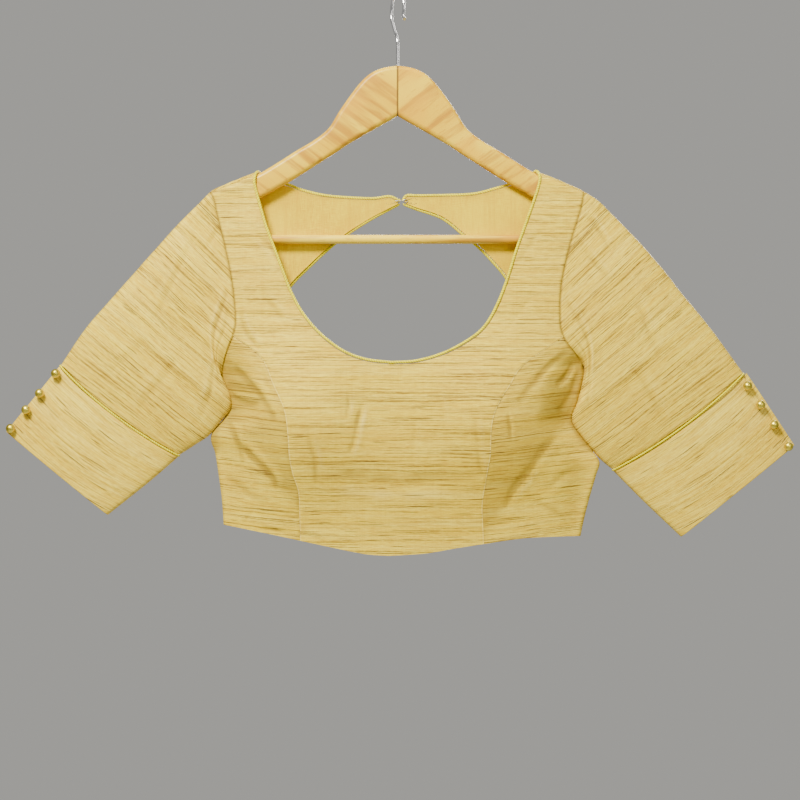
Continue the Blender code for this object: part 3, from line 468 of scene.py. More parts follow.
def princess(side, shares):
    end = spline(armhole_points(side, False), [princess_meets(side)])[0]
    return spline([*PRINCESS[side][:-1], end], shares)


def side_seam(side, shares):
    heights = np.linspace(HEM_CORNER_Z[side], UNDERARM_Z[side], 60)
    return spline(np.stack([CLOSE[side](heights), heights], axis=1), shares)


def hem_between(side, start_x, end_x, shares):
    corner = (float(CLOSE[side](HEM_CORNER_Z[side])), HEM_CORNER_Z[side])
    dense = spline([corner, *FRONT_HEM[side], HEM_MIDDLE], even(300))
    order = np.argsort(dense[:, 0])
    xs = start_x + (end_x - start_x) * np.asarray(shares)
    return np.stack([xs, np.interp(xs, dense[order, 0], dense[order, 1])], axis=1)


# Relief: soft, uneven creases and the pull of seams, added along the cloth's normal


class Wander:
    """Smooth noise with a seed, the same on every run."""

    def __init__(self, seed):
        self.grid = np.random.default_rng(seed).uniform(-1, 1, (64, 64))

    def __call__(self, u, v):
        low_u, low_v = np.floor(u), np.floor(v)
        part_u, part_v = smooth(u - low_u), smooth(v - low_v)
        at_u, at_v = low_u.astype(int) % 64, low_v.astype(int) % 64
        next_u, next_v = (at_u + 1) % 64, (at_v + 1) % 64
        low = self.grid[at_u, at_v] * (1 - part_u) + self.grid[next_u, at_v] * part_u
        high = self.grid[at_u, next_v] * (1 - part_u) + self.grid[next_u, next_v] * part_u
        return low * (1 - part_v) + high * part_v


def crease(points, start, end, bow, width, depth, seed):
    """One crease from start to end, bowed sideways: a trough with a softer ridge beside it."""
    start, end = np.array(start, float), np.array(end, float)
    run = end - start
    length = np.linalg.norm(run)
    side = np.array([-run[1], run[0]]) / length
    offset = points - start
    along = (offset @ run) / length ** 2
    wander = Wander(seed)
    drift = wander(along * length / 30 + 7.3, np.zeros_like(along)) * width * 0.5
    across = offset @ side - bow * 4 * along * (1 - along) - drift
    inside = np.clip(along, 0, 1)
    fade = np.sqrt(np.clip(np.sin(np.pi * inside), 0, 1)) * (np.abs(along - 0.5) < 0.5)
    uneven = 0.75 + 0.35 * wander(along * length / 18, np.full_like(along, 3.7))
    trough = -np.exp(-(across / width) ** 2)
    ridge = 0.5 * np.exp(-((across - 1.9 * width) / (1.3 * width)) ** 2)
    return bpy.context.scene.choli_silk.fold_depth * depth * fade * uneven * (trough + ridge)


def creases(points, rows):
    total = np.zeros(points.shape[:-1])
    for seed, row in enumerate(rows):
        total += crease(points, row[0:2], row[2:4], row[4], row[5], row[6], 11 + seed)
    return total


def border_runs(grid):
    """Each point's distance along its row or column to the four borders: bottom, top, outer, inner."""
    across = np.linalg.norm(np.diff(grid, axis=1), axis=2)
    across = np.concatenate([np.zeros((len(grid), 1)), np.cumsum(across, axis=1)], axis=1)
    up = np.linalg.norm(np.diff(grid, axis=0), axis=2)
    up = np.concatenate([np.zeros((1, grid.shape[1])), np.cumsum(up, axis=0)], axis=0)
    return up, up[-1:] - up, across, across[:, -1:] - across


def seam_pull(away, along, seed, dip=0.55, pucker=0.45, reach=11.0, pitch=8.0):
    """The cloth dips into a seam beside a raised lip, and small puckers run out from it."""
    wander = Wander(seed)
    ripple = wander(along / pitch, away / 26) * np.exp(-away / reach) * np.minimum(away / 2.5, 1)
    lip = 0.45 * dip * np.exp(-((away - 3.2) / 1.6) ** 2)
    return lip - dip * np.exp(-(away / 1.5) ** 2) + pucker * ripple


# Finishes


class Net:
    """Short ways to add and join shader nodes in one tree."""

    def __init__(self, tree):
        self.tree = tree

    def add(self, kind, **settings):
        node = self.tree.nodes.new(kind)
        for name, value in settings.items():
            setattr(node, name, value)
        return node

    def feed(self, socket, value):
        if isinstance(value, bpy.types.NodeSocket):
            self.tree.links.new(value, socket)
        elif value is not None:
            socket.default_value = value

    def math(self, operation, first, second=None, clamp=False):
        node = self.add("ShaderNodeMath", operation=operation, use_clamp=clamp)
        self.feed(node.inputs[0], first)
        self.feed(node.inputs[1], second)
        return node.outputs[0]

    def stretch(self, place, scale, shift=(0.0, 0.0, 0.0)):
        node = self.add("ShaderNodeMapping")
        self.feed(node.inputs["Vector"], place)
        node.inputs["Scale"].default_value = scale
        node.inputs["Location"].default_value = shift
        return node.outputs["Vector"]

    def noise(self, place, scale, shift=(0.0, 0.0, 0.0), detail=2.0, rough=0.5):
        node = self.add("ShaderNodeTexNoise", noise_dimensions="3D", normalize=True)
        self.feed(node.inputs["Vector"], self.stretch(place, scale, shift))
        node.inputs["Scale"].default_value = 1.0
        node.inputs["Detail"].default_value = detail
        node.inputs["Roughness"].default_value = rough
        return node.outputs["Fac"]

    def span(self, value, low, high, start=0.0, end=1.0):
        """value from low to high, eased onto start to end."""
        node = self.add("ShaderNodeMapRange", interpolation_type="SMOOTHSTEP")
        for name, number in zip(("Value", "From Min", "From Max", "To Min", "To Max"),
                                (value, low, high, start, end)):
            self.feed(node.inputs[name], number)
        return node.outputs[0]

    def mix(self, share, first, second, blend="MIX"):
        node = self.add("ShaderNodeMix", data_type="RGBA", blend_type=blend)
        self.feed(node.inputs[0], share)
        for socket, value in ((node.inputs[6], first), (node.inputs[7], second)):
            self.feed(socket, (*value, 1.0) if isinstance(value, tuple) and len(value) == 3 else value)
        return node.outputs[2]


def effect(name, inputs, outputs, fill):
    """A shader node group made once. inputs and outputs name their sockets' types; fill wires it up."""
    found = bpy.data.node_groups.get(name)
    if found:
        return found
    group = bpy.data.node_groups.new(name, "ShaderNodeTree")
    for socket, (kind, value) in inputs.items():
        made = group.interface.new_socket(name=socket, in_out="INPUT", socket_type="NodeSocket" + kind)
        if value is not None:
            made.default_value = value
    for socket, kind in outputs.items():
        group.interface.new_socket(name=socket, in_out="OUTPUT", socket_type="NodeSocket" + kind)
    net = Net(group)
    start, end = net.add("NodeGroupInput"), net.add("NodeGroupOutput")
    for socket, value in fill(net, start.outputs).items():
        net.feed(end.inputs[socket], value)
    return group


def slub_silk():
    """Raw silk: pale wavering weft threads with darker slubs along u, a faint warp along v, and painted shade
    and painted highlight taken from the fold attribute.
    """
    def fill(net, given):
        place = given["Place"]
        bend = net.noise(place, (16.0, 34.0, 1.0), (3.1, 0.4, 0.0), 3.0)
        sway = net.add("ShaderNodeCombineXYZ")
        net.feed(sway.inputs["Y"], net.math("MULTIPLY", net.math("SUBTRACT", bend, 0.5), 0.0042))
        moved = net.add("ShaderNodeVectorMath", operation="ADD")
        net.feed(moved.inputs[0], place)
        net.feed(moved.inputs[1], sway.outputs[0])
        place = moved.outputs[0]
        thread = net.noise(place, (26.0, 1150.0, 1.0), (0.0, 0.0, 0.7), 3.0, 0.65)
        band = net.noise(place, (5.0, 150.0, 1.0), (7.0, 2.0, 0.2), 3.0, 0.6)
        slub = net.noise(place, (7.5, 800.0, 1.0), (1.7, 5.0, 1.4), 2.0, 0.5)
        long_slub = net.noise(place, (4.5, 560.0, 1.0), (6.7, 1.0, 9.4), 2.0, 0.5)
        dash = net.noise(place, (150.0, 1300.0, 1.0), (4.7, 8.0, 2.4), 2.0, 0.6)
        knot = net.noise(place, (24.0, 640.0, 1.0), (9.0, 1.0, 2.2), 1.0, 0.4)
        warp = net.noise(place, (900.0, 10.0, 1.0), (0.0, 3.0, 3.3), 2.0, 0.5)
        patch_tone = net.noise(place, (11.0, 15.0, 1.0), (4.0, 4.0, 4.1), 2.0)
        slub_mask = net.span(slub, given["Slub Start"], 0.68)
        long_mask = net.math("MULTIPLY", net.span(long_slub, 0.60, 0.67), net.span(thread, 0.35, 0.6, 0.4, 1.0))
        slub_mask = net.math("MAXIMUM", slub_mask, long_mask)
        slub_mask = net.math("MULTIPLY", slub_mask, given["Slub Strength"])
        knot_mask = net.span(knot, 0.665, 0.73)
        colour = net.mix(net.span(band, 0.30, 0.72), given["Base"], given["Pale"])
        colour = net.mix(net.math("MULTIPLY", net.span(thread, 0.38, 0.62), 0.55), colour, given["Deep"])
        colour = net.mix(net.math("MULTIPLY", net.span(warp, 0.40, 0.75), 0.16), colour, given["Deep"])
        colour = net.mix(net.math("MULTIPLY", net.span(patch_tone, 0.35, 0.75), 0.22), colour, given["Deep"])
        colour = net.mix(net.math("MULTIPLY", net.span(dash, 0.50, 0.68), 0.50), colour, given["Deep"])
        colour = net.mix(net.math("MULTIPLY", net.span(dash, 0.46, 0.32), 0.45), colour, given["Pale"])
        # Painted shade from the fold attribute, towards the slub colour; then painted highlight, towards the
        # crest colour, on crease ridges and along the princess seam.
        colour = net.mix(net.math("MULTIPLY", net.span(given["Fold"], 0.0, 1.2), 0.60), colour, given["Slub"])
        colour = net.mix(net.math("MULTIPLY", net.span(given["Fold"], 0.0, -1.0), 0.70), colour, given["Crest"])
        slub_tone = net.math("MULTIPLY", slub_mask, net.span(dash, 0.3, 0.6, 0.45, 0.92))
        colour = net.mix(slub_tone, colour, given["Slub"])
        colour = net.mix(net.math("MULTIPLY", knot_mask, 0.80), colour, given["Knot"])
        height = net.math("ADD", net.math("MULTIPLY", thread, 0.35), net.math("MULTIPLY", warp, 0.18))
        height = net.math("ADD", height, net.math("MULTIPLY", slub_mask, 0.55))
        height = net.math("ADD", height, net.math("MULTIPLY", knot_mask, 0.7))
        rough = net.math("ADD", given["Rough"], net.math("MULTIPLY", slub_mask, 0.12))
        rough = net.math("ADD", rough, net.math("MULTIPLY", net.math("SUBTRACT", thread, 0.5), 0.16))
        return {"Color": colour, "Roughness": rough, "Height": height}

    look = bpy.context.scene.choli_silk
    return effect("slub silk", {
        "Place": ("Vector", None), "Base": ("Color", look.base), "Pale": ("Color", look.pale),
        "Deep": ("Color", look.deep), "Slub": ("Color", look.slub),
        "Knot": ("Color", look.knot), "Crest": ("Color", look.crest),
        "Fold": ("Float", 0.0), "Slub Start": ("Float", 0.54), "Slub Strength": ("Float", 1.0),
        "Rough": ("Float", 0.46),
    }, {"Color": "Color", "Roughness": "Float", "Height": "Float"}, fill)


def plain_weave():
    """Close plain-woven cotton: small even threads both ways, with a little unevenness."""
    def fill(net, given):
        place = given["Place"]
        weft = net.noise(place, (120.0, 1900.0, 1.0), (0.0, 0.0, 5.1), 2.0)
        warp = net.noise(place, (1900.0, 120.0, 1.0), (0.0, 0.0, 6.3), 2.0)
        tone = net.noise(place, (18.0, 24.0, 1.0), (2.0, 0.0, 7.7), 3.0)
        both = net.math("MULTIPLY", net.math("ADD", weft, warp), 0.5)
        colour = net.mix(net.span(both, 0.35, 0.65), given["Deep"], given["Base"])
        colour = net.mix(net.math("MULTIPLY", net.span(tone, 0.35, 0.7), 0.5), colour, given["Pale"])
        shadow = net.noise(place, (22.0, 12.0, 1.0), (6.0, 3.0, 8.8), 2.0)
        streak = net.noise(place, (210.0, 9.0, 1.0), (1.0, 7.0, 4.4), 2.0)
        colour = net.mix(net.math("MULTIPLY", net.span(shadow, 0.45, 0.65), 0.40), colour, given["Deep"])
        colour = net.mix(net.math("MULTIPLY", net.span(streak, 0.48, 0.66), 0.35), colour, given["Deep"])
        rough = net.math("ADD", given["Rough"], net.math("MULTIPLY", net.math("SUBTRACT", both, 0.5), 0.2))
        return {"Color": colour, "Roughness": rough, "Height": both}

    look = bpy.context.scene.choli_trim
    return effect("plain weave", {
        "Place": ("Vector", None), "Base": ("Color", look.lining), "Pale": ("Color", look.lining_pale),
        "Deep": ("Color", look.lining_deep), "Rough": ("Float", 0.7),
    }, {"Color": "Color", "Roughness": "Float", "Height": "Float"}, fill)


def twisted_thread():
    """Shiny twisted piping: strands with a painted highlight, and painted shade in the dull line between them.
    """
    def fill(net, given):
        parts = net.add("ShaderNodeSeparateXYZ")
        net.feed(parts.inputs[0], given["Place"])
        lay = net.math("SUBTRACT", net.math("DIVIDE", parts.outputs[0], given["Girth"]),
                       net.math("DIVIDE", parts.outputs[1], given["Pitch"]))
        fine = net.math("PINGPONG", net.math("MULTIPLY", lay, 10.0), 0.5)
        strand = net.math("PINGPONG", net.math("MULTIPLY", lay, 2.0), 0.5)
        worn = net.noise(given["Place"], (240.0, 160.0, 1.0), (0.0, 0.0, 8.2), 2.0)
        # Painted shade in the groove between strands, then a painted highlight in fine stripes along them; the
        # worn mix darkens random patches.
        colour = net.mix(net.span(strand, 0.02, 0.22), given["Hollow"], given["Base"])
        colour = net.mix(net.math("MULTIPLY", net.span(fine, 0.1, 0.4), 0.45), colour, given["Bright"])
        colour = net.mix(net.math("MULTIPLY", net.span(worn, 0.5, 0.8), 0.4), colour, given["Hollow"])
        height = net.math("ADD", net.math("MULTIPLY", net.span(strand, 0.0, 0.3), 0.7),
                          net.math("MULTIPLY", fine, 0.6))
        return {"Color": colour, "Roughness": net.span(strand, 0.0, 0.3, 0.6, 0.36), "Height": height}

    look = bpy.context.scene.choli_trim
    return effect("twisted thread", {
        "Place": ("Vector", None), "Girth": ("Float", 2 * math.pi * NECK_CORD * MM), "Pitch": ("Float", 0.0054),
        "Base": ("Color", look.cord), "Bright": ("Color", look.cord_bright),
        "Hollow": ("Color", look.cord_groove_shade_and_wear),
    }, {"Color": "Color", "Roughness": "Float", "Height": "Float"}, fill)


def wood_grain():
    """Varnished pale timber: long grain lines along u, warm patches and small pores."""
    def fill(net, given):
        place = given["Place"]
        lines = net.noise(place, (5.0, 170.0, 60.0), (1.0, 0.0, 0.0), 4.0, 0.6)
        broad = net.noise(place, (3.0, 38.0, 20.0), (0.0, 2.0, 0.0), 3.0, 0.55)
        warm = net.noise(place, (14.0, 26.0, 20.0), (5.0, 5.0, 0.0), 2.0)
        pores = net.noise(place, (60.0, 900.0, 300.0), (0.0, 0.0, 3.0), 2.0)
        colour = net.mix(net.span(broad, 0.35, 0.65), given["Base"], given["Pale"])
        colour = net.mix(net.math("MULTIPLY", net.span(lines, 0.46, 0.62), 0.85), colour, given["Deep"])
        colour = net.mix(net.math("MULTIPLY", net.span(warm, 0.50, 0.66), 0.55), colour, given["Warm"])
        colour = net.mix(net.math("MULTIPLY", net.span(pores, 0.58, 0.72), 0.35), colour, given["Deep"])
        colour = net.mix(given["Joint"], colour, (0.10, 0.04, 0.01))
        height = net.math("ADD", net.math("MULTIPLY", lines, 0.5), net.math("MULTIPLY", pores, 0.5))
        rough = net.span(lines, 0.3, 0.7, 0.30, 0.42)
        return {"Color": colour, "Roughness": rough, "Height": height}

    look = bpy.context.scene.choli_hanger
    return effect("wood grain", {
        "Place": ("Vector", None), "Base": ("Color", look.wood), "Pale": ("Color", look.wood_pale),
        "Deep": ("Color", look.wood_deep), "Warm": ("Color", look.wood_warm), "Joint": ("Float", 0.0),
    }, {"Color": "Color", "Roughness": "Float", "Height": "Float"}, fill)


def surface(name, group, shader, bump, source="grain", colours=None, turn=0.0, shift=(0.0, 0.0, 0.0)):
    """A material around one effect: its place, its shader's fixed numbers and the depth of its relief."""
    made = bpy.data.materials.new(name)
    made.use_nodes = True
    net = Net(made.node_tree)
    principled = made.node_tree.nodes["Principled BSDF"]
    for socket, value in shader.items():
        principled.inputs[socket].default_value = value
    if source == "grain":
        place = net.add("ShaderNodeUVMap", uv_map="grain").outputs[0]
    else:
        place = net.add("ShaderNodeTexCoord").outputs["Object"]
    mapping = net.add("ShaderNodeMapping")
    net.feed(mapping.inputs["Vector"], place)
    mapping.inputs["Rotation"].default_value = (0.0, turn, 0.0) if source != "grain" else (0.0, 0.0, turn)
    mapping.inputs["Location"].default_value = shift
    used = net.add("ShaderNodeGroup", node_tree=group)
    net.feed(used.inputs["Place"], mapping.outputs[0])
    if "Joint" in used.inputs and turn:
        parts = net.add("ShaderNodeSeparateXYZ")
        net.feed(parts.inputs[0], place)
        from_joint = net.math("ABSOLUTE", parts.outputs[0])
        net.feed(used.inputs["Joint"], net.span(from_joint, 0.0005, 0.0014, 0.85, 0.0))
    # The fold attribute carries painted shade and painted highlight for the silk.
    if "Fold" in used.inputs:
        net.feed(used.inputs["Fold"], net.add("ShaderNodeAttribute", attribute_name="fold").outputs["Fac"])
    for socket, value in (colours or {}).items():
        used.inputs[socket].default_value = (*value, 1.0) if isinstance(value, tuple) else value
    net.feed(principled.inputs["Base Color"], used.outputs["Color"])
    net.feed(principled.inputs["Roughness"], used.outputs["Roughness"])
    relief = net.add("ShaderNodeBump")
    relief.inputs["Strength"].default_value = 1.0
    relief.inputs["Distance"].default_value = bump
    net.feed(relief.inputs["Height"], used.outputs["Height"])
    net.feed(principled.inputs["Normal"], relief.outputs[0])
    return made


SILK_SHADER = {"Sheen Weight": 0.18, "Sheen Roughness": 0.4, "Sheen Tint": (1.0, 0.74, 0.28, 1),
               "Specular IOR Level": 0.35, "Specular Tint": (1.0, 0.76, 0.34, 1)}


def silk_body(name):
    return surface(name, slub_silk(), SILK_SHADER, bpy.context.scene.choli_silk.relief)


def silk_sleeve(name):
    return surface(name, slub_silk(), SILK_SHADER, bpy.context.scene.choli_silk.relief,
                   shift=(0.37, 0.81, 0.0), colours={"Slub Start": 0.535})


def silk_cuff(name):
    look = bpy.context.scene.choli_silk
    return surface(name, slub_silk(), SILK_SHADER, look.relief, shift=(0.93, 0.22, 0.0),
                   colours={"Slub Start": 0.57, "Slub Strength": 0.55,
                            "Base": look.cuff_base, "Pale": look.cuff_pale})


def lining_cotton(name):
    return surface(name, plain_weave(), {"Specular IOR Level": 0.1}, 0.00012)


def lemon_cord(name):
    return surface(name, twisted_thread(),
                   {"Specular IOR Level": 0.3, "Specular Tint": (1.0, 0.9, 0.2, 1)}, 0.0002)


def wood_arm(name, turn, shift, colours=None):
    varnish = {"Coat Weight": 0.10, "Coat Roughness": 0.25, "Specular IOR Level": 0.2}
    return surface(name, wood_grain(), varnish, 0.00008, "object", colours, turn, shift)


def metal(name, colour, roughness, uneven, colour_dull):
    made = bpy.data.materials.new(name)
    made.use_nodes = True
    net = Net(made.node_tree)
    principled = made.node_tree.nodes["Principled BSDF"]
    principled.inputs["Metallic"].default_value = 1.0
    place = net.add("ShaderNodeTexCoord").outputs["Object"]
    wear = net.noise(place, (420.0, 420.0, 420.0), (0.0, 0.0, 0.0), 3.0)
    broad = net.noise(place, (90.0, 90.0, 90.0), (2.0, 0.0, 0.0), 2.0)
    net.feed(principled.inputs["Roughness"], net.span(wear, 0.3, 0.8, roughness, roughness + uneven))
    net.feed(principled.inputs["Base Color"], net.mix(net.span(broad, 0.45, 0.8), colour, colour_dull))
    return made


def pale_floor(name):
    made = bpy.data.materials.new(name)
    made.use_nodes = True
    net = Net(made.node_tree)
    principled = made.node_tree.nodes["Principled BSDF"]
    place = net.add("ShaderNodeTexCoord").outputs["Object"]
    tone = net.noise(place, (2.0, 2.0, 2.0))
    net.feed(principled.inputs["Base Color"], net.mix(tone, (0.60, 0.60, 0.61), (0.64, 0.64, 0.65)))
    principled.inputs["Roughness"].default_value = 0.9
    return made


def gold_button(name):
    look = bpy.context.scene.choli_trim
    return metal(name, look.button, 0.30, 0.2, look.button_dull)


def small_hook(name):
    wire = bpy.context.scene.choli_trim.closure
    return metal(name, wire, 0.25, 0.2, tuple(part * 0.55 for part in wire[:3]))


def hook_chrome(name):
    wire = bpy.context.scene.choli_hanger.wire
    return metal(name, wire, 0.10, 0.15, tuple(part * 0.66 for part in wire[:3]))


def pale_thread(name):
    # The stitches carry the piping's painted highlight and painted groove shade, in paler colours.
    return surface(name, twisted_thread(), {"Specular IOR Level": 0.3}, 0.0001, colours={
        "Base": (0.86, 0.76, 0.42), "Bright": (0.95, 0.88, 0.62), "Hollow": (0.45, 0.33, 0.10)})


def wood_arm_left(name):
    return wood_arm(name, math.radians(-36), (0.3, 0.0, 0.1))


def wood_arm_right(name):
    return wood_arm(name, math.radians(36), (0.8, 0.0, 0.5))


def wood_bar(name):
    look = bpy.context.scene.choli_hanger
    return wood_arm(name, 0.0, (1.7, 0.0, 0.9), {"Base": look.bar, "Pale": look.bar_pale})


FINISHES = {made.__name__: made for made in (
    silk_body, silk_sleeve, silk_cuff, lining_cotton, lemon_cord, gold_button, pale_thread, small_hook,
    hook_chrome, wood_arm_left, wood_arm_right, wood_bar, pale_floor)}


# Making pieces


def finish_of(name):
    """The named material, made on first use."""
    found = bpy.data.materials.get(name)
    return found if found else FINISHES[name](name)


def add_piece(name, points, faces, grain, material_name, node=None, sharp=40):
    """A mesh piece in millimetres, riding on the part's one body; grain holds each face corner's place."""
    mesh = bpy.data.meshes.new(name)
    mesh.from_pydata((np.asarray(points) * MM).tolist(), [], [list(face) for face in faces])
    layer = mesh.uv_layers.new(name="grain")
    layer.uv.foreach_set("vector", (np.asarray(grain, float) * MM).astype(np.float32).ravel())
    work = bmesh.new()
    work.from_mesh(mesh)
    bmesh.ops.recalc_face_normals(work, faces=work.faces)
    work.to_mesh(mesh)
    work.free()
    mesh.shade_smooth()
    mesh.set_sharp_from_angle(angle=math.radians(sharp))
    piece = bpy.data.objects.new(name, mesh)
    bpy.context.scene.collection.objects.link(piece)
    mesh.materials.append(finish_of(material_name))
    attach(piece, BODY)
    if node:
        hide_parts(node)
    return piece


def tone(piece, values):
    """Keep how deep each outer point lies in a fold (below 0: on a crest), with painted shade along seams and
    under the arms added, for the silk to paint as shade and highlight.
    """
    whole = np.zeros(len(piece.data.vertices), np.float32)
    whole[:np.size(values)] = np.ravel(values)
    piece.data.attributes.new("fold", "FLOAT", "POINT").data.foreach_set("value", whole)


def corners_of(grid):
    """The four corners of each cell of a grid, as one row of four for each cell."""
    cells = np.stack([grid[:-1, :-1], grid[:-1, 1:], grid[1:, 1:], grid[1:, :-1]], axis=2)
    return cells.reshape(-1, 4, *grid.shape[2:])


def grid_border(index):
    """A grid's border as one closed row of points, and the points just inside it."""
    border = [index[0, :-1], index[:-1, -1], index[-1, :0:-1], index[:0:-1, 0]]
    within = [index[1, :-1].copy(), index[:-1, -2].copy(), index[-2, :0:-1].copy(), index[:0:-1, 1].copy()]
    within[0][0], within[1][0] = index[1, 1], index[1, -2]
    within[2][0], within[3][0] = index[-2, -2], index[-2, 1]
    return np.concatenate(border), np.concatenate(within)


def shell(name, outside, inside, sheets, loops, bulge, material_name, node=None):
    """A thin closed wall. sheets pairs index grids with grain grids; loops are its borders,
    rounded by bulge."""
    count = len(outside)
    points, faces, grain = [outside, inside], [], []
    placed = np.zeros((count, 2))
    for index, place in sheets:
        cells, places = corners_of(index), corners_of(place)
        faces += [cells, cells[:, ::-1] + count]
        grain += [places, places[:, ::-1]]
        placed[index.ravel()] = place.reshape(-1, 2)
    total = 2 * count
    for border, within in loops:
        away = unit(outside[border] - outside[within])
        rim = (outside[border] + inside[border]) / 2 + away * bulge
        ring = total + np.arange(len(border))
        total += len(border)
        points.append(rim)
        ahead, ring_ahead = np.roll(border, -1), np.roll(ring, -1)
        strip = np.stack([border, ahead, ring_ahead, ring], axis=1)
        under = np.stack([ring, ring_ahead, ahead + count, border + count], axis=1)
        place = np.stack([placed[border], placed[ahead], placed[ahead], placed[border]], axis=1)
        faces += [strip, under]
        grain += [place, place]
    return add_piece(name, np.concatenate(points), np.concatenate(faces), np.concatenate(grain),
                     material_name, node, sharp=75)


def plain_shell(name, outside, inside, grain, bulge, material_name, slot, node=None, ring=False):
    """A shell from one grid of points; ring joins each row's end to its start."""
    rows, columns = outside.shape[:2]
    index = np.arange(rows * columns).reshape(rows, columns)
    if ring:
        index = np.concatenate([index, index[:, :1]], axis=1)
        loops = [(index[0, :-1], index[1, :-1]), (index[-1, :-1], index[-2, :-1])]
    else:
        loops = [grid_border(index)]
    return shell(name, outside.reshape(-1, 3), inside.reshape(-1, 3), [(index, grain)], loops,
                 bulge, material_name, node)


def frames_along(path, closed=False):
    """Unit vectors along and across a path of points, turning as little as they can."""
    path = np.asarray(path, float)
    if closed:
        ahead = unit(np.roll(path, -1, axis=0) - np.roll(path, 1, axis=0))
    else:
        ahead = unit(np.gradient(path, axis=0))
    across = np.zeros_like(ahead)
    here = np.cross(ahead[0], (0.0, 1.0, 0.1))
    for index, run in enumerate(ahead):
        here = here - run * np.dot(here, run)
        here /= np.linalg.norm(here)
        across[index] = here
    if closed:
        start = across[0] - ahead[-1] * np.dot(across[0], ahead[-1])
        gap = math.atan2(np.dot(np.cross(across[-1], start), ahead[-1]), np.dot(across[-1], start))
        turns = np.linspace(0, gap, len(path))[:, None]
        across = across * np.cos(turns) + np.cross(ahead, across) * np.sin(turns)
    return ahead, across, np.cross(ahead, across)


def resampled(path, spacing, closed=False):
    """The same path with even steps."""
    path = np.asarray(path, float)
    if closed:
        path = np.vstack([path, path[:1]])
    run = run_of(path)
    steps = max(int(run[-1] / spacing), 4)
    at = np.linspace(0, run[-1], steps + 1)[:steps if closed else None]
    return np.stack([np.interp(at, run, path[:, axis]) for axis in range(3)], axis=1)


def cord_points(path, radius, sides, closed=False, strands=0, pitch=5.0, groove=0.1, taper=0.0):
    """Rings of points round a path; strands twist round it like a rope."""
    ahead, across, other = frames_along(path, closed)
    turn = np.linspace(0, 2 * math.pi, sides, endpoint=False)[None, :]
    run = run_of(path)[:, None]
    lay = run * 2 * math.pi / pitch
    if closed:
        whole = run[-1, 0] + np.linalg.norm(path[0] - path[-1])
        lay = run / whole * 2 * math.pi * max(round(whole / pitch), 1)
    swell = np.ones_like(turn + run)
    if strands:
        swell = 1 - groove * np.abs(np.sin(strands * (turn - lay) / 2)) ** 4
    if taper and not closed:
        swell = swell * np.sqrt(smooth(np.minimum(run, run[-1] - run) / taper)).clip(0.15)
    rings = (path[:, None] + radius * swell[..., None]
             * (np.cos(turn)[..., None] * across[:, None] + np.sin(turn)[..., None] * other[:, None]))
    place = np.stack([np.broadcast_to(np.linspace(0, 2 * math.pi * radius, sides + 1), (len(path), sides + 1)),
                      np.broadcast_to(run, (len(path), sides + 1))], axis=2)
    return rings, place


def cord(name, path, radius, material_name, slot, node=None, sides=10, closed=False, **lay):
    rings, place = cord_points(np.asarray(path, float), radius, sides, closed, **lay)
    count, sides = rings.shape[:2]
    index = np.arange(count * sides).reshape(count, sides)
    index = np.concatenate([index, index[:, :1]], axis=1)
    if closed:
        index = np.concatenate([index, index[:1]])
        last = place[-1:].copy()
        last[..., 1] += np.linalg.norm(path[0] - path[-1])
        place = np.concatenate([place, last])
    faces = [list(face) for face in corners_of(index)]
    grain = list(corners_of(place).reshape(-1, 2))
    if not closed:
        for row in (0, count - 1):
            faces.append(list(index[row, :-1]))
            grain += list(place[row, :-1])
    return add_piece(name, rings.reshape(-1, 3), faces, np.array(grain), material_name, node)


def stitches(name, path, normals, length, pitch, radius, material_name, slant=0.0):
    """A row of sewn stitches lying along a path, sunk a little at their ends."""
    run = run_of(path)
    count = int((run[-1] - length) / pitch)
    shape = np.array([0.0, 0.25, 0.5, 0.75, 1.0])
    sink = np.array([-1.5, 0.1, 0.5, 0.1, -1.5]) * radius
    thick = np.array([0.35, 0.9, 1.0, 0.9, 0.35]) * radius
    turn = np.linspace(0, 2 * math.pi, 6, endpoint=False)
    points, faces = [], []
    for stitch in range(count):
        at = pitch / 2 + stitch * pitch + shape * length
        line = np.stack([np.interp(at, run, path[:, axis]) for axis in range(3)], axis=1)
        up = unit(np.stack([np.interp(at, run, normals[:, axis]) for axis in range(3)], axis=1))
        ahead = unit(np.gradient(line, axis=0))
        side = unit(np.cross(ahead, up))
        line = line + up * sink[:, None] + side * ((shape - 0.5) * slant * length)[:, None]
        rings = line[:, None] + thick[:, None, None] * (np.cos(turn)[None, :, None] * side[:, None]
                                                        + np.sin(turn)[None, :, None] * up[:, None])
        start = len(points) * 30
        points.append(rings.reshape(-1, 3))
        for row in range(4):
            for spot in range(6):
                here, there = start + row * 6 + spot, start + row * 6 + (spot + 1) % 6
                faces.append((here, there, there + 6, here + 6))
        faces.append(tuple(start + spot for spot in range(6)))
        faces.append(tuple(start + 24 + spot for spot in range(5, -1, -1)))
    corners = sum(len(face) for face in faces)
    return add_piece(name, np.concatenate(points), faces, np.zeros((corners, 2)), material_name)


def two_skins(flat, back, relief, wall=WALL, under=0.0):
    """Outer and inner faces of a flat grid laid on the front or back of the body, moved by relief."""
    points, normals = lift(flat, back), outward(flat, back)
    outside = points + normals * (relief - under)[..., None]
    return outside, outside - normals * wall


# Cloth pieces

HEM_DEPTH = 19.0        # the hem is turned up this far, and its fold shows as a faint step
FRONT_ROWS = 150
FRONT_SPLIT = 66        # rows up to the neckline's lowest point
PRINCESS_SPLIT = 84     # rows up to the princess seam's upper end
FRONT_COLUMNS = 54
PANEL_GAP = 0.05        # half the gap between two sewn panels
LINING_LOW = 6          # the lining starts this many rows below the keyhole
LINING_IN = 18          # and this many columns in from the side

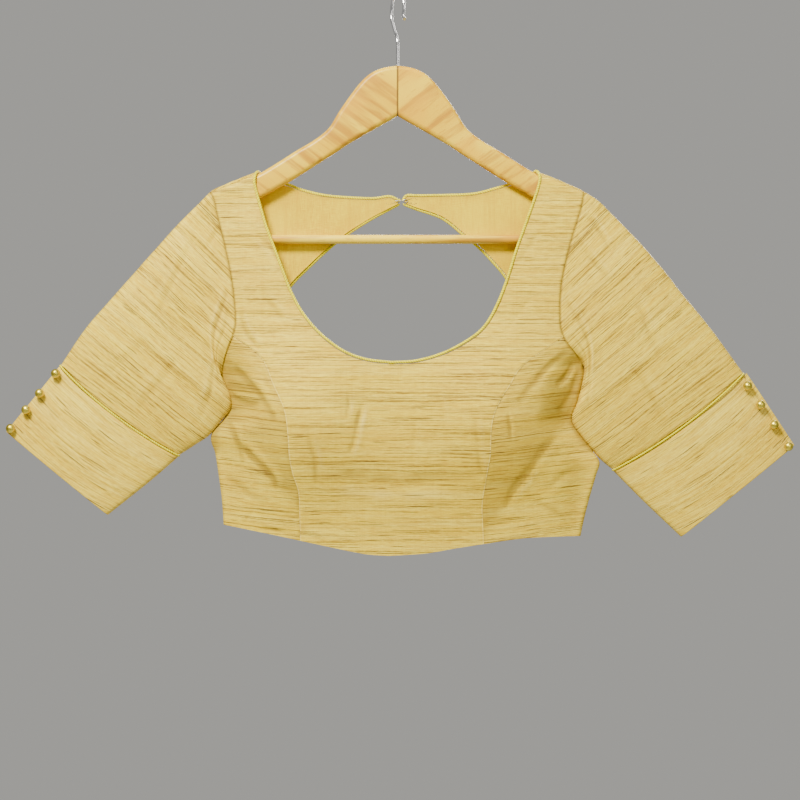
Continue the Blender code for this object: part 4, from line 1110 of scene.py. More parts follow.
# Creases: start x, z, end x, z, sideways bow, width, depth
CENTRE_CREASES = (
    (-38.5, -449.0, -54.5, -508.0, 2.0, 2.8, 0.85),
    (-53.0, -436.0, -56.0, -470.0, 1.0, 2.2, 0.50),
    (18.0, -462.0, 16.0, -520.0, 0.0, 2.6, 0.30),
    (84.0, -462.0, 96.0, -540.0, -3.0, 3.2, 0.40),
    (-100.0, -470.0, -90.0, -545.0, 3.0, 3.4, 0.45),
    (-150.0, -330.0, -120.0, -372.0, 3.0, 3.2, 0.35),
    (150.0, -330.0, 118.0, -376.0, -3.0, 3.2, 0.35),
    (-172.0, -352.0, -150.0, -392.0, -3.0, 2.6, 0.50),
    (-110.0, -590.0, -78.0, -602.0, 1.0, 2.2, 0.40),
    (92.0, -530.0, -104.0, -524.0, 9.0, 8.0, 0.42),
    (-128.0, -300.0, -158.0, -262.0, -2.0, 3.0, 0.30),
    (132.0, -300.0, 162.0, -258.0, 2.0, 3.0, 0.30),
    (40.0, -430.0, 52.0, -486.0, 2.0, 2.6, 0.30),
)
LEFT_SIDE_CREASES = (
    (-174.0, -494.0, -130.0, -543.0, 3.0, 3.4, 0.90),
    (-186.0, -440.0, -150.0, -450.0, -4.0, 2.8, 0.70),
    (-186.0, -470.0, -168.0, -520.0, 2.0, 3.0, 0.50),
    (-150.0, -587.0, -122.0, -592.0, 1.0, 2.0, 0.50),
    (-170.0, -585.0, -160.0, -570.0, 1.0, 2.0, 0.35),
    (-178.0, -410.0, -132.0, -470.0, 3.0, 3.4, 0.60),
    (-190.0, -530.0, -140.0, -560.0, -3.0, 4.0, 0.50),
)
RIGHT_SIDE_CREASES = (
    (174.0, -486.0, 116.0, -566.0, -4.0, 3.6, 0.80),
    (192.0, -408.0, 172.0, -432.0, 3.0, 2.6, 0.90),
    (198.0, -418.0, 176.0, -462.0, 3.0, 3.0, 0.80),
    (119.0, -462.0, 121.0, -492.0, 1.0, 1.8, 0.50),
    (205.0, -520.0, 160.0, -545.0, -3.0, 3.6, 0.50),
    (186.0, -395.0, 130.0, -450.0, -4.0, 3.2, 0.60),
    (150.0, -560.0, 190.0, -585.0, 2.0, 3.6, 0.40),
)
# The fold under each arm, from the side in to the princess seam: the cloth above it gets painted shade
UNDER_FOLD = {"left": ((-174.5, -496.0), (-130.5, -543.4)), "right": ((174.2, -489.5), (118.1, -566.5))}
SIDE_LEAN = 0.11        # the slope of the side panels' weft
BACK_CREASES = {
    "left": ((-150.0, -470.0, -60.0, -520.0, 8.0, 4.0, 0.70), (-178.0, -430.0, -140.0, -500.0, -5.0, 3.2, 0.70),
             (-60.0, -500.0, -40.0, -575.0, 3.0, 3.4, 0.40), (-170.0, -330.0, -150.0, -400.0, 4.0, 3.0, 0.40)),
    "right": ((160.0, -470.0, 70.0, -525.0, -8.0, 4.0, 0.70), (190.0, -430.0, 150.0, -505.0, 5.0, 3.2, 0.70),
              (70.0, -500.0, 50.0, -575.0, -3.0, 3.4, 0.40), (172.0, -330.0, 152.0, -400.0, -4.0, 3.0, 0.40)),
}


def drape(points, seed, height=0.35):
    """The slow, slight unevenness of hanging silk."""
    slow, slower = Wander(seed), Wander(seed + 1)
    x, z = points[..., 0], points[..., 1]
    return height * (slow(x / 34 + 20, z / 52 + 20) + 0.8 * slower(x / 90 + 20, z / 75 + 20))


def hem_relief(up):
    """The turned hem: slightly thicker cloth with a faint step at its top."""
    return -0.12 * smooth((up - HEM_DEPTH + 1.2) / 2.4) - 0.10 * np.exp(-((up - HEM_DEPTH) / 1.1) ** 2) + 0.12


def cut_as(grids, size=None):
    """Work out a cloth piece's size, measured on its flat grids before any relief, unless one is given; nothing
    more is done with it.
    """
    if size is None:
        points = np.concatenate([grid.reshape(-1, 2) for grid in grids])
        size = points.max(axis=0) - points.min(axis=0)


def front_half(side):
    """Flat grid of half the middle front."""
    shares = gathered(FRONT_ROWS, 0.35)
    low, high = shares[:PRINCESS_SPLIT + 1] / shares[PRINCESS_SPLIT], shares[PRINCESS_SPLIT:]
    meet = princess_meets(side)
    arm = meet + (1 - meet) * (high - high[0]) / (1 - high[0])
    outer = np.vstack([princess(side, low), spline(armhole_points(side, False), arm)[1:]])
    low, high = shares[:FRONT_SPLIT + 1] / shares[FRONT_SPLIT], shares[FRONT_SPLIT:]
    high = (high - high[0]) / (1 - high[0])
    across = gathered(FRONT_COLUMNS, 0.8)
    shoulder = shoulder_line(side, False, across)
    neck = spline([*FRONT_NECK[side][::-1], shoulder[-1]], high)
    inner = np.vstack([spline([HEM_MIDDLE, FRONT_NECK[side][-1]], low), neck[1:]])
    bottom = hem_between(side, outer[0][0], HEM_MIDDLE[0], across)
    outer[0], inner[0] = bottom[0], bottom[-1]
    edge = np.array([0.0] * FRONT_SPLIT + [CORD_EDGE] * len(neck))
    grid = inset_patch(bottom, shoulder, outer, inner, across, (0.0, PANEL_GAP, PANEL_GAP, edge))
    return grid, neck


def front_relief(side, grid):
    up, down, from_seam, from_middle = border_runs(grid)
    seed = 40 if side == "left" else 50
    along = up[:, :1] + np.zeros_like(up)
    relief = seam_pull(from_seam, along, seed, dip=0.3) + seam_pull(down, from_seam, seed + 1, reach=6.0)
    neck = np.arange(len(grid))[:, None] >= FRONT_SPLIT
    below = up[FRONT_SPLIT] - up
    from_neck = np.where(neck, from_middle, np.hypot(from_middle, below))
    relief += -0.35 * np.exp(-(from_neck / 2.2) ** 2) * smooth((up - up[FRONT_SPLIT - 6]) / 8)
    relief += 0.16 * Wander(seed + 2)(along / 8, from_neck / 20) * np.exp(-from_neck / 7) * neck
    folds = creases(grid, CENTRE_CREASES)
    # Painted light: a painted highlight along the princess seam, painted shade along the armhole seam and just
    # inside the neck edge beside the cord, painted shade in the creases and a painted highlight on their
    # ridges.
    princess_rows = np.arange(len(grid))[:, None] <= PRINCESS_SPLIT
    shade = np.where(princess_rows, -0.8 * np.exp(-(from_seam / 1.1) ** 2),
                     1.2 * np.exp(-(from_seam / 1.5) ** 2))
    shade += 0.30 * np.exp(-((from_neck - 3) / 2.0) ** 2) * smooth((up - up[FRONT_SPLIT - 6]) / 8)
    shade = shade - folds * bpy.context.scene.choli_silk.fold_tone
    return relief + hem_relief(up) + drape(grid, 60) + folds, shade


def make_front_centre():
    """Middle panel of the front with both straps; its halves share the middle line."""
    skins, grids, shades = [], [], []
    for side in SIDES:
        grid = front_half(side)[0]
        grids.append(grid)
        relief, shade = front_relief(side, grid)
        shades.append(shade.ravel())
        skins.append(two_skins(grid, False, relief))
    rows, columns = grids[0].shape[:2]
    left = np.arange(rows * columns).reshape(rows, columns)
    right = left + rows * columns
    shared = np.arange(FRONT_SPLIT + 1)
    for skin in range(2):
        middle = (skins[0][skin][shared, -1] + skins[1][skin][shared, -1]) / 2
        skins[0][skin][shared, -1] = middle
        skins[1][skin][shared, -1] = middle
    right[shared, -1] = left[shared, -1]
    outside, inside = [np.concatenate([half[skin].reshape(-1, 3) for half in skins]) for skin in range(2)]
    top = FRONT_SPLIT
    border = [left[0, :-1], right[0, ::-1], right[1:, 0], right[-1, 1:], right[-2:top:-1, -1],
              left[top:, -1], left[-1, -2:0:-1], left[:0:-1, 0]]
    within = [left[1, :-1], right[1, ::-1], right[1:, 1], right[-2, 1:], right[-2:top:-1, -2],
              left[top:, -2], left[-2, -2:0:-1], left[:0:-1, 1]]
    within[5] = within[5].copy()
    within[5][0] = left[top - 1, -1]
    loops = [(np.concatenate(border), np.concatenate(within))]
    piece = shell("front_centre_cloth", outside, inside, [(left, grids[0]), (right, grids[1])], loops, 0.12,
                  "silk_body", "front_centre")
    tone(piece, np.concatenate(shades))
    cut_as(grids)


def make_front_side(side):
    """Side panel of the front, from the side seam to the princess seam."""
    meet = princess_meets(side)
    rows = gathered(96, 0.55)
    across = gathered(44, 0.75)
    top = spline(armhole_points(side, False), meet * across)
    outer, inner = side_seam(side, rows), princess(side, rows)
    bottom = hem_between(side, outer[0][0], inner[0][0], across)
    outer[0], inner[0] = bottom[0], bottom[-1]
    grid = inset_patch(bottom, top, outer, inner, across, (0.0, PANEL_GAP, 0.0, PANEL_GAP))
    up, down, from_side, from_seam = border_runs(grid)
    seed = 70 if side == "left" else 80
    fade = smooth(from_side / 12)
    relief = seam_pull(from_seam, up, seed, dip=0.3)
    relief = relief + seam_pull(down, from_seam, seed + 1, reach=12.0, pucker=0.5)
    folds = creases(grid, LEFT_SIDE_CREASES if side == "left" else RIGHT_SIDE_CREASES)
    relief = (relief + drape(grid, 90, 0.5) + folds + hem_relief(up)) * fade
    lean = SIDE_LEAN if side == "left" else -SIDE_LEAN
    place = np.stack([grid[..., 0], grid[..., 1] + lean * grid[..., 0]], axis=-1)
    piece = plain_shell("front_side_cloth_" + side, *two_skins(grid, False, relief), place, 0.1,
                        "silk_body", "silk_side", "front_side_" + side)
    # Painted shade on the side panel: a little everywhere, more above the underarm fold, a painted shadow
    # beside the sleeve, dark lines along the armhole and princess seams, and painted shade and highlight in the
    # creases.
    start, end = UNDER_FOLD[side]
    run = unit(np.array(end) - start)
    above = (grid - start) @ (np.array([-run[1], run[0]]) * (1 if side == "left" else -1))
    hollow = 0.12 + 0.58 * smooth(above / 16 + 0.4) * np.exp(-(above.clip(0) / 85) ** 2)
    beside = smooth((grid[..., 1] + 512) / 16) * smooth((-385 - grid[..., 1]) / 16)
    hollow += beside * (1.0 * np.exp(-(from_side / 7) ** 2) + 0.45 * np.exp(-(from_side / 22) ** 2))
    hollow += 1.0 * np.exp(-(down / 1.6) ** 2) + 0.2 * np.exp(-(from_seam / 2.5) ** 2)
    tone(piece, hollow - folds * bpy.context.scene.choli_silk.fold_tone)
    cut_as([grid])


BACK_ROWS = 120
BACK_SPLIT = 46


def back_half(side):
    """Flat grid of a back half with its neck and keyhole edges."""
    across = gathered(56, 0.8)
    shoulder = shoulder_line(side, True, gathered(20, 0.3))
    shares = gathered(BACK_ROWS, 0.3)
    armhole = spline(armhole_points(side, True), even(60))
    body = np.vstack([side_seam(side, even(40)), armhole[1:], shoulder[1:]])
    outer = spline(body, shares)
    start = (CENTRE_BACK, KEYHOLE[side][0][1])
    below = spline([(CENTRE_BACK, BACK_HEM_Z), start], shares[:BACK_SPLIT + 1] / shares[BACK_SPLIT])
    high = (shares[BACK_SPLIT:] - shares[BACK_SPLIT]) / (1 - shares[BACK_SPLIT])
    keyhole = spline([start, *KEYHOLE[side][1:]], high)
    inner = np.vstack([below, keyhole[1:]])
    hem = [outer[0], outer[0] * 0.6 + np.array([CENTRE_BACK, BACK_HEM_Z]) * 0.4, (CENTRE_BACK, BACK_HEM_Z)]
    corner = (np.array(BACK_NECK[side][-1]) + np.array(KEYHOLE[side][-1])) / 2
    top = spline([shoulder[-1], *BACK_NECK[side][:-1], corner], across)
    inner[-1] = corner
    edge = np.array([PANEL_GAP] * BACK_SPLIT + [CORD_EDGE] * len(keyhole))
    grid = inset_patch(spline(hem, across), top, outer, inner, across, (0.0, CORD_EDGE, HALF_SEAM, edge))
    return grid, top, keyhole


def make_back(side):
    """Back half and the lining inside it that shows through the neck."""
    grid = back_half(side)[0]
    up, down, from_seam, from_middle = border_runs(grid)
    seed = 100 if side == "left" else 110
    rows = np.arange(len(grid))[:, None]
    fade = np.where(grid[..., 1] < -400, smooth(from_seam / 12), 1.0)
    relief = seam_pull(from_seam, up, seed) * (grid[..., 1] > -412)
    relief += -0.35 * np.exp(-(from_middle / 2.2) ** 2) - 0.3 * np.exp(-(down / 2.0) ** 2)
    relief += 0.2 * Wander(seed + 3)(up / 9, from_middle / 22) * np.exp(-from_middle / 8) * (rows > BACK_SPLIT)
    folds = creases(grid, BACK_CREASES[side])
    relief += drape(grid, seed + 4, 0.45) + folds + hem_relief(up)
    relief *= fade
    piece = plain_shell("back_cloth_" + side, *two_skins(grid, True, relief), grid, 0.1,
                        "silk_body", "silk", "back_" + side)
    # Painted shade along the outer seam and in the creases, and a painted highlight on the crease ridges.
    tone(piece, 0.6 * np.exp(-(from_seam / 1.8) ** 2) - folds * bpy.context.scene.choli_silk.fold_tone)
    cut_as([grid])
    shown = grid[BACK_SPLIT - LINING_LOW:, LINING_IN:]
    slack = 0.12 * Wander(seed + 6)(shown[..., 0] / 14, shown[..., 1] / 17)
    shown_relief = relief[BACK_SPLIT - LINING_LOW:, LINING_IN:] + slack
    faces = two_skins(shown, True, shown_relief, LINING_WALL, WALL + SEAM)
    lining = plain_shell("back_lining_cloth_" + side, *faces, shown, 0.1,
                         "lining_cotton", "lining", "back_lining_" + side)
    cut_as([shown])


GRAIN_TURN = -0.0006    # how fast the sleeve's weft turns, for each mm up from the cuff
SLEEVE_STEPS = 96
SLEEVE_ROUND = 60
UNDERARM_REACH = 32.0
UNDERARM_LIFT = SEAM
# Sleeve creases: share along the sleeve, spot across it (0 outer edge, 1 inner edge), to the same,
# bow, width, depth
SLEEVE_CREASES = {
    "left": ((0.05, 0.52, 0.42, 0.88, 0.03, 3.4, 1.30), (0.10, 0.66, 0.40, 0.95, 0.02, 2.6, 0.80),
             (0.20, 0.15, 0.62, 0.30, -0.03, 4.2, 0.45), (0.55, 0.55, 0.95, 0.62, 0.02, 4.2, 0.55),
             (0.62, 0.34, 0.96, 0.30, 0.02, 3.6, 0.40), (0.34, 0.80, 0.62, 0.86, 0.03, 3.0, 0.80),
             (0.02, 0.20, 0.16, 0.24, 0.00, 2.6, 0.50), (0.50, 0.78, 0.74, 0.90, -0.02, 3.2, 0.50)),
    "right": ((0.04, 0.12, 0.26, 0.20, 0.01, 3.0, 0.70), (0.03, 0.26, 0.34, 0.36, -0.02, 3.6, 0.60),
              (0.06, 0.60, 0.44, 0.90, 0.03, 3.4, 1.10), (0.14, 0.78, 0.42, 0.97, 0.02, 2.6, 0.80),
              (0.30, 0.20, 0.72, 0.36, -0.03, 4.4, 0.45), (0.58, 0.52, 0.96, 0.60, 0.02, 4.0, 0.55),
              (0.66, 0.28, 0.96, 0.24, 0.02, 3.4, 0.40), (0.40, 0.84, 0.66, 0.90, 0.03, 3.0, 0.70)),
}
BACK_SLEEVE_CREASES = ((0.06, 0.50, 0.44, 0.86, 0.03, 3.6, 1.10), (0.14, 0.70, 0.46, 0.94, 0.02, 3.0, 0.70),
                       (0.30, 0.22, 0.70, 0.34, -0.03, 4.2, 0.50), (0.60, 0.50, 0.95, 0.58, 0.02, 4.0, 0.50))


def blunt(share, power=2.6):
    """Half the thickness of a flattened tube at a share of its width."""
    return (1 - np.abs(2 * share - 1) ** power).clip(0) ** (1 / power)


def sleeve_ring(side, share, spots, layers, short=0.0):
    """One ring of the sleeve: front layer from the outer to the inner edge, then the back layer."""
    top_x, top_z, low_x, low_z, half, forward = (float(read(share)) for read in SLEEVE_READS[side])
    top, low = np.array([top_x, 0.0, top_z]), np.array([low_x, 0.0, low_z])
    chord = low - top
    bow = np.array([chord[2], 0.0, -chord[0]]) / np.linalg.norm(chord)
    bow = -bow if bow[2] > 0 else bow
    ring = top + chord * spots[:, None] + bow * (SLEEVE_SAG * share * 4 * spots * (1 - spots) - short)[:, None]
    ring[:, 1] = layers * half * blunt(spots) - forward * smooth((spots - 0.4) / 0.6)
    return ring


SLEEVE_READS = {side: [eased_table(SLEEVES[side], column) for column in range(1, 7)] for side in SIDES}


def sleeve_head(side):
    """The sleeve's first ring, on the armhole, with its normals and the way each point may be raised."""
    out = -1.0 if side == "left" else 1.0
    steps = gathered(SLEEVE_ROUND, 0.5)
    front = spline(armhole_points(side, False), steps)[::-1]
    back = spline(armhole_points(side, True), steps)
    seam, normals, raised = [], [], []
    for flat, on_back in ((front, False), (back[1:-1], True)):
        run = unit(np.gradient(flat, axis=0))
        away = np.stack([-run[:, 1], run[:, 0]], axis=1)
        away *= np.sign(away[:, :1] * out)
        moved = flat + away * HALF_SEAM
        seam.append(lift(moved, on_back))
        normals.append(outward(moved, on_back))
        raised.append(np.stack([away[:, 0], np.zeros(len(away)), away[:, 1]], axis=1))
    seam, normals, raised = [np.concatenate(rows) for rows in (seam, normals, raised)]
    under = len(front) - 1
    seam[under] += np.array([out * SEAM, 0.0, SEAM])
    seam[under, 1] = 0.0
    raised[under] = (0.0, 0.0, 1.0)
    reach = np.concatenate([run_of(front)[-1] - run_of(front), run_of(back)[1:-1]])
    near = (1 - reach / UNDERARM_REACH).clip(0)[:, None]
    spots = np.concatenate([lengths_along(front), 1 - lengths_along(back)[1:-1]])
    layers = np.concatenate([-np.ones(len(front)), np.ones(len(back) - 2)])
    return seam + raised * UNDERARM_LIFT * near, normals, raised * (SEAM + (WALL - SEAM) * near), spots, layers


def sleeve_grain(side, points):
    """Where each point lies on the cloth: the weft runs level with the cuff seam, steeper at the head."""
    top_x, top_z, low_x, low_z = SLEEVES[side][-1][1:5]
    along = unit(np.array([low_x - top_x, low_z - top_z]))
    up = np.array([abs(along[1]), abs(along[0])]) * (1 if side == "left" else -1, 1)
    flat = points[..., (0, 2)] - np.array([top_x, top_z])
    u, v = flat @ along, flat @ up
    turned = v / (1 + GRAIN_TURN * (u - 80))
    return np.stack([u + 400 * (points[..., 1] > 0), turned], axis=-1)


def make_sleeve(side):
    """Sleeve tube from the armhole to the cuff seam."""
    seam, normals, tuck, spots, layers = sleeve_head(side)
    start = sleeve_ring(side, 0.0, spots, layers)
    shares = gathered(SLEEVE_STEPS, 0.35)
    rings = np.array([sleeve_ring(side, share, spots, layers, share * CORD_ROOM)
                      + (1 - smooth(share / HEAD_BLEND)) * (seam - start) for share in shares])
    along = np.gradient(rings, axis=0)
    around = np.roll(rings, -1, axis=1) - np.roll(rings, 1, axis=1)
    facing = unit(np.cross(around, along))
    if np.sum(facing * (rings - rings.mean(axis=1)[:, None, :])) < 0:
        facing = -facing
    facing[0] = normals
    run = np.linalg.norm(np.diff(rings, axis=0), axis=2)
    run = np.concatenate([np.zeros((1, len(spots))), np.cumsum(run, axis=0)], axis=0)
    place = sleeve_grain(side, rings)
    seed = 130 if side == "left" else 140
    length, ring_run = run[-1].mean(), np.arange(len(spots)) * 400 / len(spots)
    relief = seam_pull(run, ring_run[None, :] + 0 * run, seed, reach=13.0, pucker=0.55)
    relief += seam_pull(run[-1:] - run, ring_run[None, :] + 0 * run, seed + 1, pucker=0.18)
    front = layers[None, :] < 0
    folds = np.zeros_like(run)
    for rows, mask in ((SLEEVE_CREASES[side], front), (BACK_SLEEVE_CREASES, ~front)):
        for number, (share_a, spot_a, share_b, spot_b, bow, wide, deep) in enumerate(rows):
            start_at = (spot_a * 190, share_a * length)
            end_at = (spot_b * 190, share_b * length)
            scaled = np.stack([np.broadcast_to(spots[None, :] * 190, run.shape),
                               np.broadcast_to(shares[:, None] * length, run.shape)], axis=2)
            folds += mask * crease(scaled, start_at, end_at, bow * 100, wide, deep, seed + 3 + number)
    relief += folds + drape(place, seed + 2, 0.5)
    edge = smooth(np.minimum(spots, 1 - spots) / 0.06)[None, :]
    relief = relief * edge * smooth(run / 2.0 + 0.25)
    outside = rings + facing * relief[..., None]
    inside = outside - WALL * facing
    inside[0] += tuck
    grain = np.concatenate([place, place[:, :1]], axis=1)
    piece = plain_shell("sleeve_cloth_" + side, outside, inside, grain, 0.1, "silk_sleeve", "silk",
                        "sleeve_" + side, ring=True)
    # Painted shade along the armhole seam, beside the cuff seam and near the inner edge a little below the
    # underarm, with painted shade and highlight in the creases.
    inner = np.exp(-((1 - spots) / 0.10) ** 2)[None, :] * np.exp(-((shares - 0.22) / 0.16) ** 2)[:, None]
    left_over = run[-1:] - run
    hollow = 1.1 * np.exp(-(run / 2.0) ** 2) + 0.5 * np.exp(-((left_over - 3.5) / 1.0) ** 2) + 0.65 * inner
    tone(piece, hollow - folds * bpy.context.scene.choli_silk.fold_tone * 0.6)
    round_about = np.linalg.norm(np.roll(rings, -1, axis=1) - rings, axis=2).sum(axis=1).max()
    cut_as([np.concatenate([rings, rings[:, :1]], axis=1)],
           (round_about, run[-1].max()))


CUFF_READS = {side: [eased_table(CUFFS[side], column) for column in range(1, 6)] for side in SIDES}
CUFF_ROWS = 44
CUFF_STEPS = 50


def cuff_point(side, share, spot, layer):
    """Points of the cuff; layer is -1 on the front and 1 on the back."""
    spot, layer = np.atleast_1d(spot).astype(float), np.atleast_1d(layer).astype(float)
    top_x, top_z, low_x, low_z, half = (float(read(share)) for read in CUFF_READS[side])
    top, low = np.array([top_x, 0.0, top_z]), np.array([low_x, 0.0, low_z])
    chord = low - top
    bow = np.array([chord[2], 0.0, -chord[0]]) / np.linalg.norm(chord)
    bow = -bow if bow[2] > 0 else bow
    sag = (1 - share) * (SLEEVE_SAG * 4 * spot * (1 - spot) + CORD_ROOM)
    points = top + chord * spot[:, None] + bow * sag[:, None]
    slit = np.where(layer < 0, SLIT_FRONT, SLIT_BACK)
    near = spot.clip(0)
    thick = half * blunt(near)
    opened = slit + (half - slit) * (1 - (1 - (2 * near).clip(0, 1)) ** 2)
    points[:, 1] = layer * np.where(spot < 0.5, opened, thick)
    return points


def make_cuff(side):
    """Deep cuff, open along its outer edge where the front layer laps the back one."""
    reach = -BACK_LAYER_REACH[side] / CUFF_WIDTH
    front = gathered(CUFF_STEPS, 0.5)
    rear = reach + (1 - reach) * front[::-1]
    spots = np.concatenate([front, rear[1:]])
    layers = np.concatenate([-np.ones(len(front)), np.ones(len(rear) - 1)])
    shares = gathered(CUFF_ROWS, 0.6)
    grid = np.array([cuff_point(side, share, spots, layers) for share in shares])
    along, around = np.gradient(grid, axis=0), np.gradient(grid, axis=1)
    facing = unit(np.cross(around, along))
    if facing[1, 8, 1] > 0:
        facing = -facing
    run = np.linalg.norm(np.diff(grid, axis=0), axis=2)
    run = np.concatenate([np.zeros((1, len(spots))), np.cumsum(run, axis=0)], axis=0)
    around_run = run_of(grid[0])[None, :] + 0 * run
    seed = 160 if side == "left" else 170
    relief = seam_pull(run, around_run, seed, pucker=0.15)
    hem_up = run[-1:] - run
    hang = drape(np.stack([around_run, run], axis=2), seed, 0.3)
    relief += 0.12 - 0.12 * smooth((hem_up - HEM_DEPTH) / 3) + hang
    ends = np.minimum(around_run, around_run[:, -1:] - around_run)
    fold = np.abs(around_run - around_run[:, len(front) - 1:len(front)])
    relief = relief * smooth(fold / 8) * smooth(ends / 4 + 0.3)
    outside = grid + facing * relief[..., None]
    place = np.stack([spots[None, :] * CUFF_WIDTH + 0 * run, run + 260], axis=2)
    piece = plain_shell("cuff_cloth_" + side, outside, outside - WALL * facing, place, 0.35,
                        "silk_cuff", "silk_side", "cuff_" + side)
    # Painted shade: a line along the front layer 9 mm in from the slit on the upper part of the cuff, at both
    # slit edges, and a faint line at the top of the turned hem.
    placket_edge_shade = np.exp(-((around_run - 9) / 1.0) ** 2) * smooth((0.62 - shares) / 0.05)[:, None] * (layers < 0)
    hem_step_shade = np.exp(-((hem_up - HEM_DEPTH) / 1.0) ** 2)
    tone(piece, 0.6 * placket_edge_shade + 0.5 * np.exp(-(ends / 1.2) ** 2) + 0.3 * hem_step_shade)
    cut_as([grid], (around_run[0, -1], run[-1].max()))


# Cords, buttons and closure


def edge_line(points, back):
    points = np.asarray(points)
    return lift(points, back) + outward(points, back) * CORD_RAISE


def neck_line():
    """The centre line of the cord round the whole neck, from strip end to strip end."""
    paths = []
    for side in SIDES:
        top = back_half(side)[1]
        behind = edge_line(np.vstack([top[:-1], BACK_NECK[side][-1:]]), True)[::-1]
        ahead = edge_line(front_half(side)[1][::-1], False)
        joint = (behind[-1] + ahead[0]) / 2
        paths.append(np.vstack([behind[:-1], joint, ahead[1:]]))
    return np.vstack([paths[0], paths[1][::-1][1:]])


def make_cords():
    """Twisted piping round the neck, the keyhole and the cuff seams."""
    lay = {"strands": 2, "pitch": 5.4, "groove": 0.16}
    cord("neck_cord", resampled(neck_line(), 0.9), NECK_CORD, "lemon_cord", "cord", "neck_piping", 12,
         taper=2.5, **lay)
    for side in SIDES:
        keyhole = back_half(side)[2]
        hole = np.vstack([KEYHOLE[side][:1], keyhole[1:-1], KEYHOLE[side][-1:]])
        cord("keyhole_cord_" + side, resampled(edge_line(hole, True), 1.0), NECK_CORD, "lemon_cord", "cord",
             "keyhole_piping_" + side, 12, taper=2.5, **lay)
        spots, layers = sleeve_head(side)[3:]
        ring = sleeve_ring(side, 1.0, spots, layers)
        cord("cuff_cord_" + side, resampled(ring, 0.8, True), CUFF_CORD, "lemon_cord", "cord",
             "cuff_piping_" + side, 10, closed=True, strands=2, pitch=4.2, groove=0.16)


def make_buttons(side):
    """Round metallic buttons along the cuff's slit."""
    size = bpy.context.scene.choli_trim.button_radius / MM
    for number, share in enumerate(BUTTONS_ALONG[side], start=1):
        seat = cuff_point(side, share, BUTTON_INSET / CUFF_WIDTH, -1)[0]
        seat[1] -= size + BUTTON_ROOM
        points, faces, grain = [], [], []
        rings, sides = 22, 32
        for row in range(rings + 1):
            turn = math.pi * row / rings
            depth, radius = -math.cos(turn), math.sin(turn)
            radius *= 1 - 0.05 * math.exp(-((depth - 0.12) / 0.05) ** 2)
            for spot in range(sides):
                angle = 2 * math.pi * spot / sides
                points.append(seat + size * np.array([radius * math.cos(angle), depth * 0.96,
                                                        radius * math.sin(angle)]))
        for row in range(rings):
            for spot in range(sides):
                here, there = row * sides + spot, row * sides + (spot + 1) % sides
                faces.append((here, there, there + sides, here + sides))
                grain += [(spot, row)] * 4
        node = "cuff_button_%s_%d" % (side, number)
        button = add_piece("button_%s_%d" % (side, number), points, faces, grain, "gold_button", node)
        work = bmesh.new()
        work.from_mesh(button.data)
        bmesh.ops.remove_doubles(work, verts=work.verts, dist=0.00001)
        work.to_mesh(button.data)
        work.free()


# Hook and eye: the eye's place, size and depth, then the hook as x and depth
EYE_AT = 4.5
EYE_WIDE = 2.4
EYE_TALL = 1.6
EYE_DEPTH = 0.8
BACK_HOOK = ((-7, 2.0), (-2, 2.3), (3.5, 2.2), (4.4, 1.9))


def make_closure():
    """Hook and eye inside the ends of the two back strips."""
    z = (BACK_NECK["left"][-1][1] + KEYHOLE["left"][-1][1]) / 2
    face = float(lift(np.array([CENTRE_BACK, z]), True)[1]) - NECK_CORD - 1.0
    turns = np.linspace(math.radians(20), math.radians(340), 40)
    eye = np.stack([CENTRE_BACK + EYE_AT - EYE_WIDE * np.cos(turns), np.full(40, face - EYE_DEPTH),
                    z + EYE_TALL * np.sin(turns)], axis=1)
    cord("closure_eye", eye[::-1], 0.4, "small_hook", "chrome", "back_eye", 10)
    path = spline([(CENTRE_BACK + x, face - depth, z) for x, depth in BACK_HOOK], even(24))
    cord("closure_hook", path, 0.5, "small_hook", "chrome", "back_hook", 10)
    inside = face + NECK_CORD + 1.0 - WALL - SEAM - LINING_WALL - 0.15
    for side, out in (("left", -1), ("right", 1)):
        for number, (away, wide, tall) in enumerate(((8.0, 5.0, 2.3), (12.5, 5.5, 3.4))):
            turns = np.linspace(0, 2 * math.pi, 60)
            ring = np.stack([CENTRE_BACK + out * (away + wide * np.cos(turns)), np.full(60, inside),
                             z + tall * np.sin(turns)], axis=1)
            inward = np.tile((0.0, -1.0, 0.0), (60, 1))
            stitches("end_stitches_%s_%d" % (side, number + 1), ring, inward, 1.9, 2.3,
                     0.32, "pale_thread", 0.5)


# Hanger

def make_arm(side):
    """One varnished arm of the hanger, rounded all along, with a flat mitre at the middle."""
    sign = -1.0 if side == "left" else 1.0
    rounding = bpy.context.scene.choli_hanger.edge_radius / MM
    outline = spline([*ARM_UPPER, *ARM_LOWER], even(190))
    tangent = unit(np.gradient(outline, axis=0))
    normal = np.stack([tangent[:, 1], -tangent[:, 0]], axis=1)
    normal[0], normal[-1] = (0.0, -1.0), (0.0, 1.0)
    layers, half = [], ARM_THICK / 2 - rounding
    for turn in np.radians(np.linspace(-90, 90, 17)):
        draw = rounding * (1 - math.cos(turn))
        flat = outline + normal * draw
        flat[:, 0] = flat[:, 0].clip(0.03)
        flat[0, 0] = flat[-1, 0] = 0.03
        depth = math.copysign(half, turn) + rounding * math.sin(turn)
        layers.append(np.stack([flat[:, 0] * sign, np.full(len(flat), depth), flat[:, 1]], axis=1))
    layers = np.array(layers)
    count = len(outline)
    index = np.arange(layers[..., 0].size).reshape(len(layers), count)
    faces = [list(face) for face in corners_of(index)]
    faces += [list(index[0]), list(index[-1][::-1]), list(index[:, 0]) + list(index[::-1, -1])]
    points = layers.reshape(-1, 3)
    grain = [(points[spot][0], points[spot][2]) for face in faces for spot in face]
    add_piece("arm_" + side, points, faces, grain, "wood_arm_" + side, "hanger_arm_" + side, sharp=50)


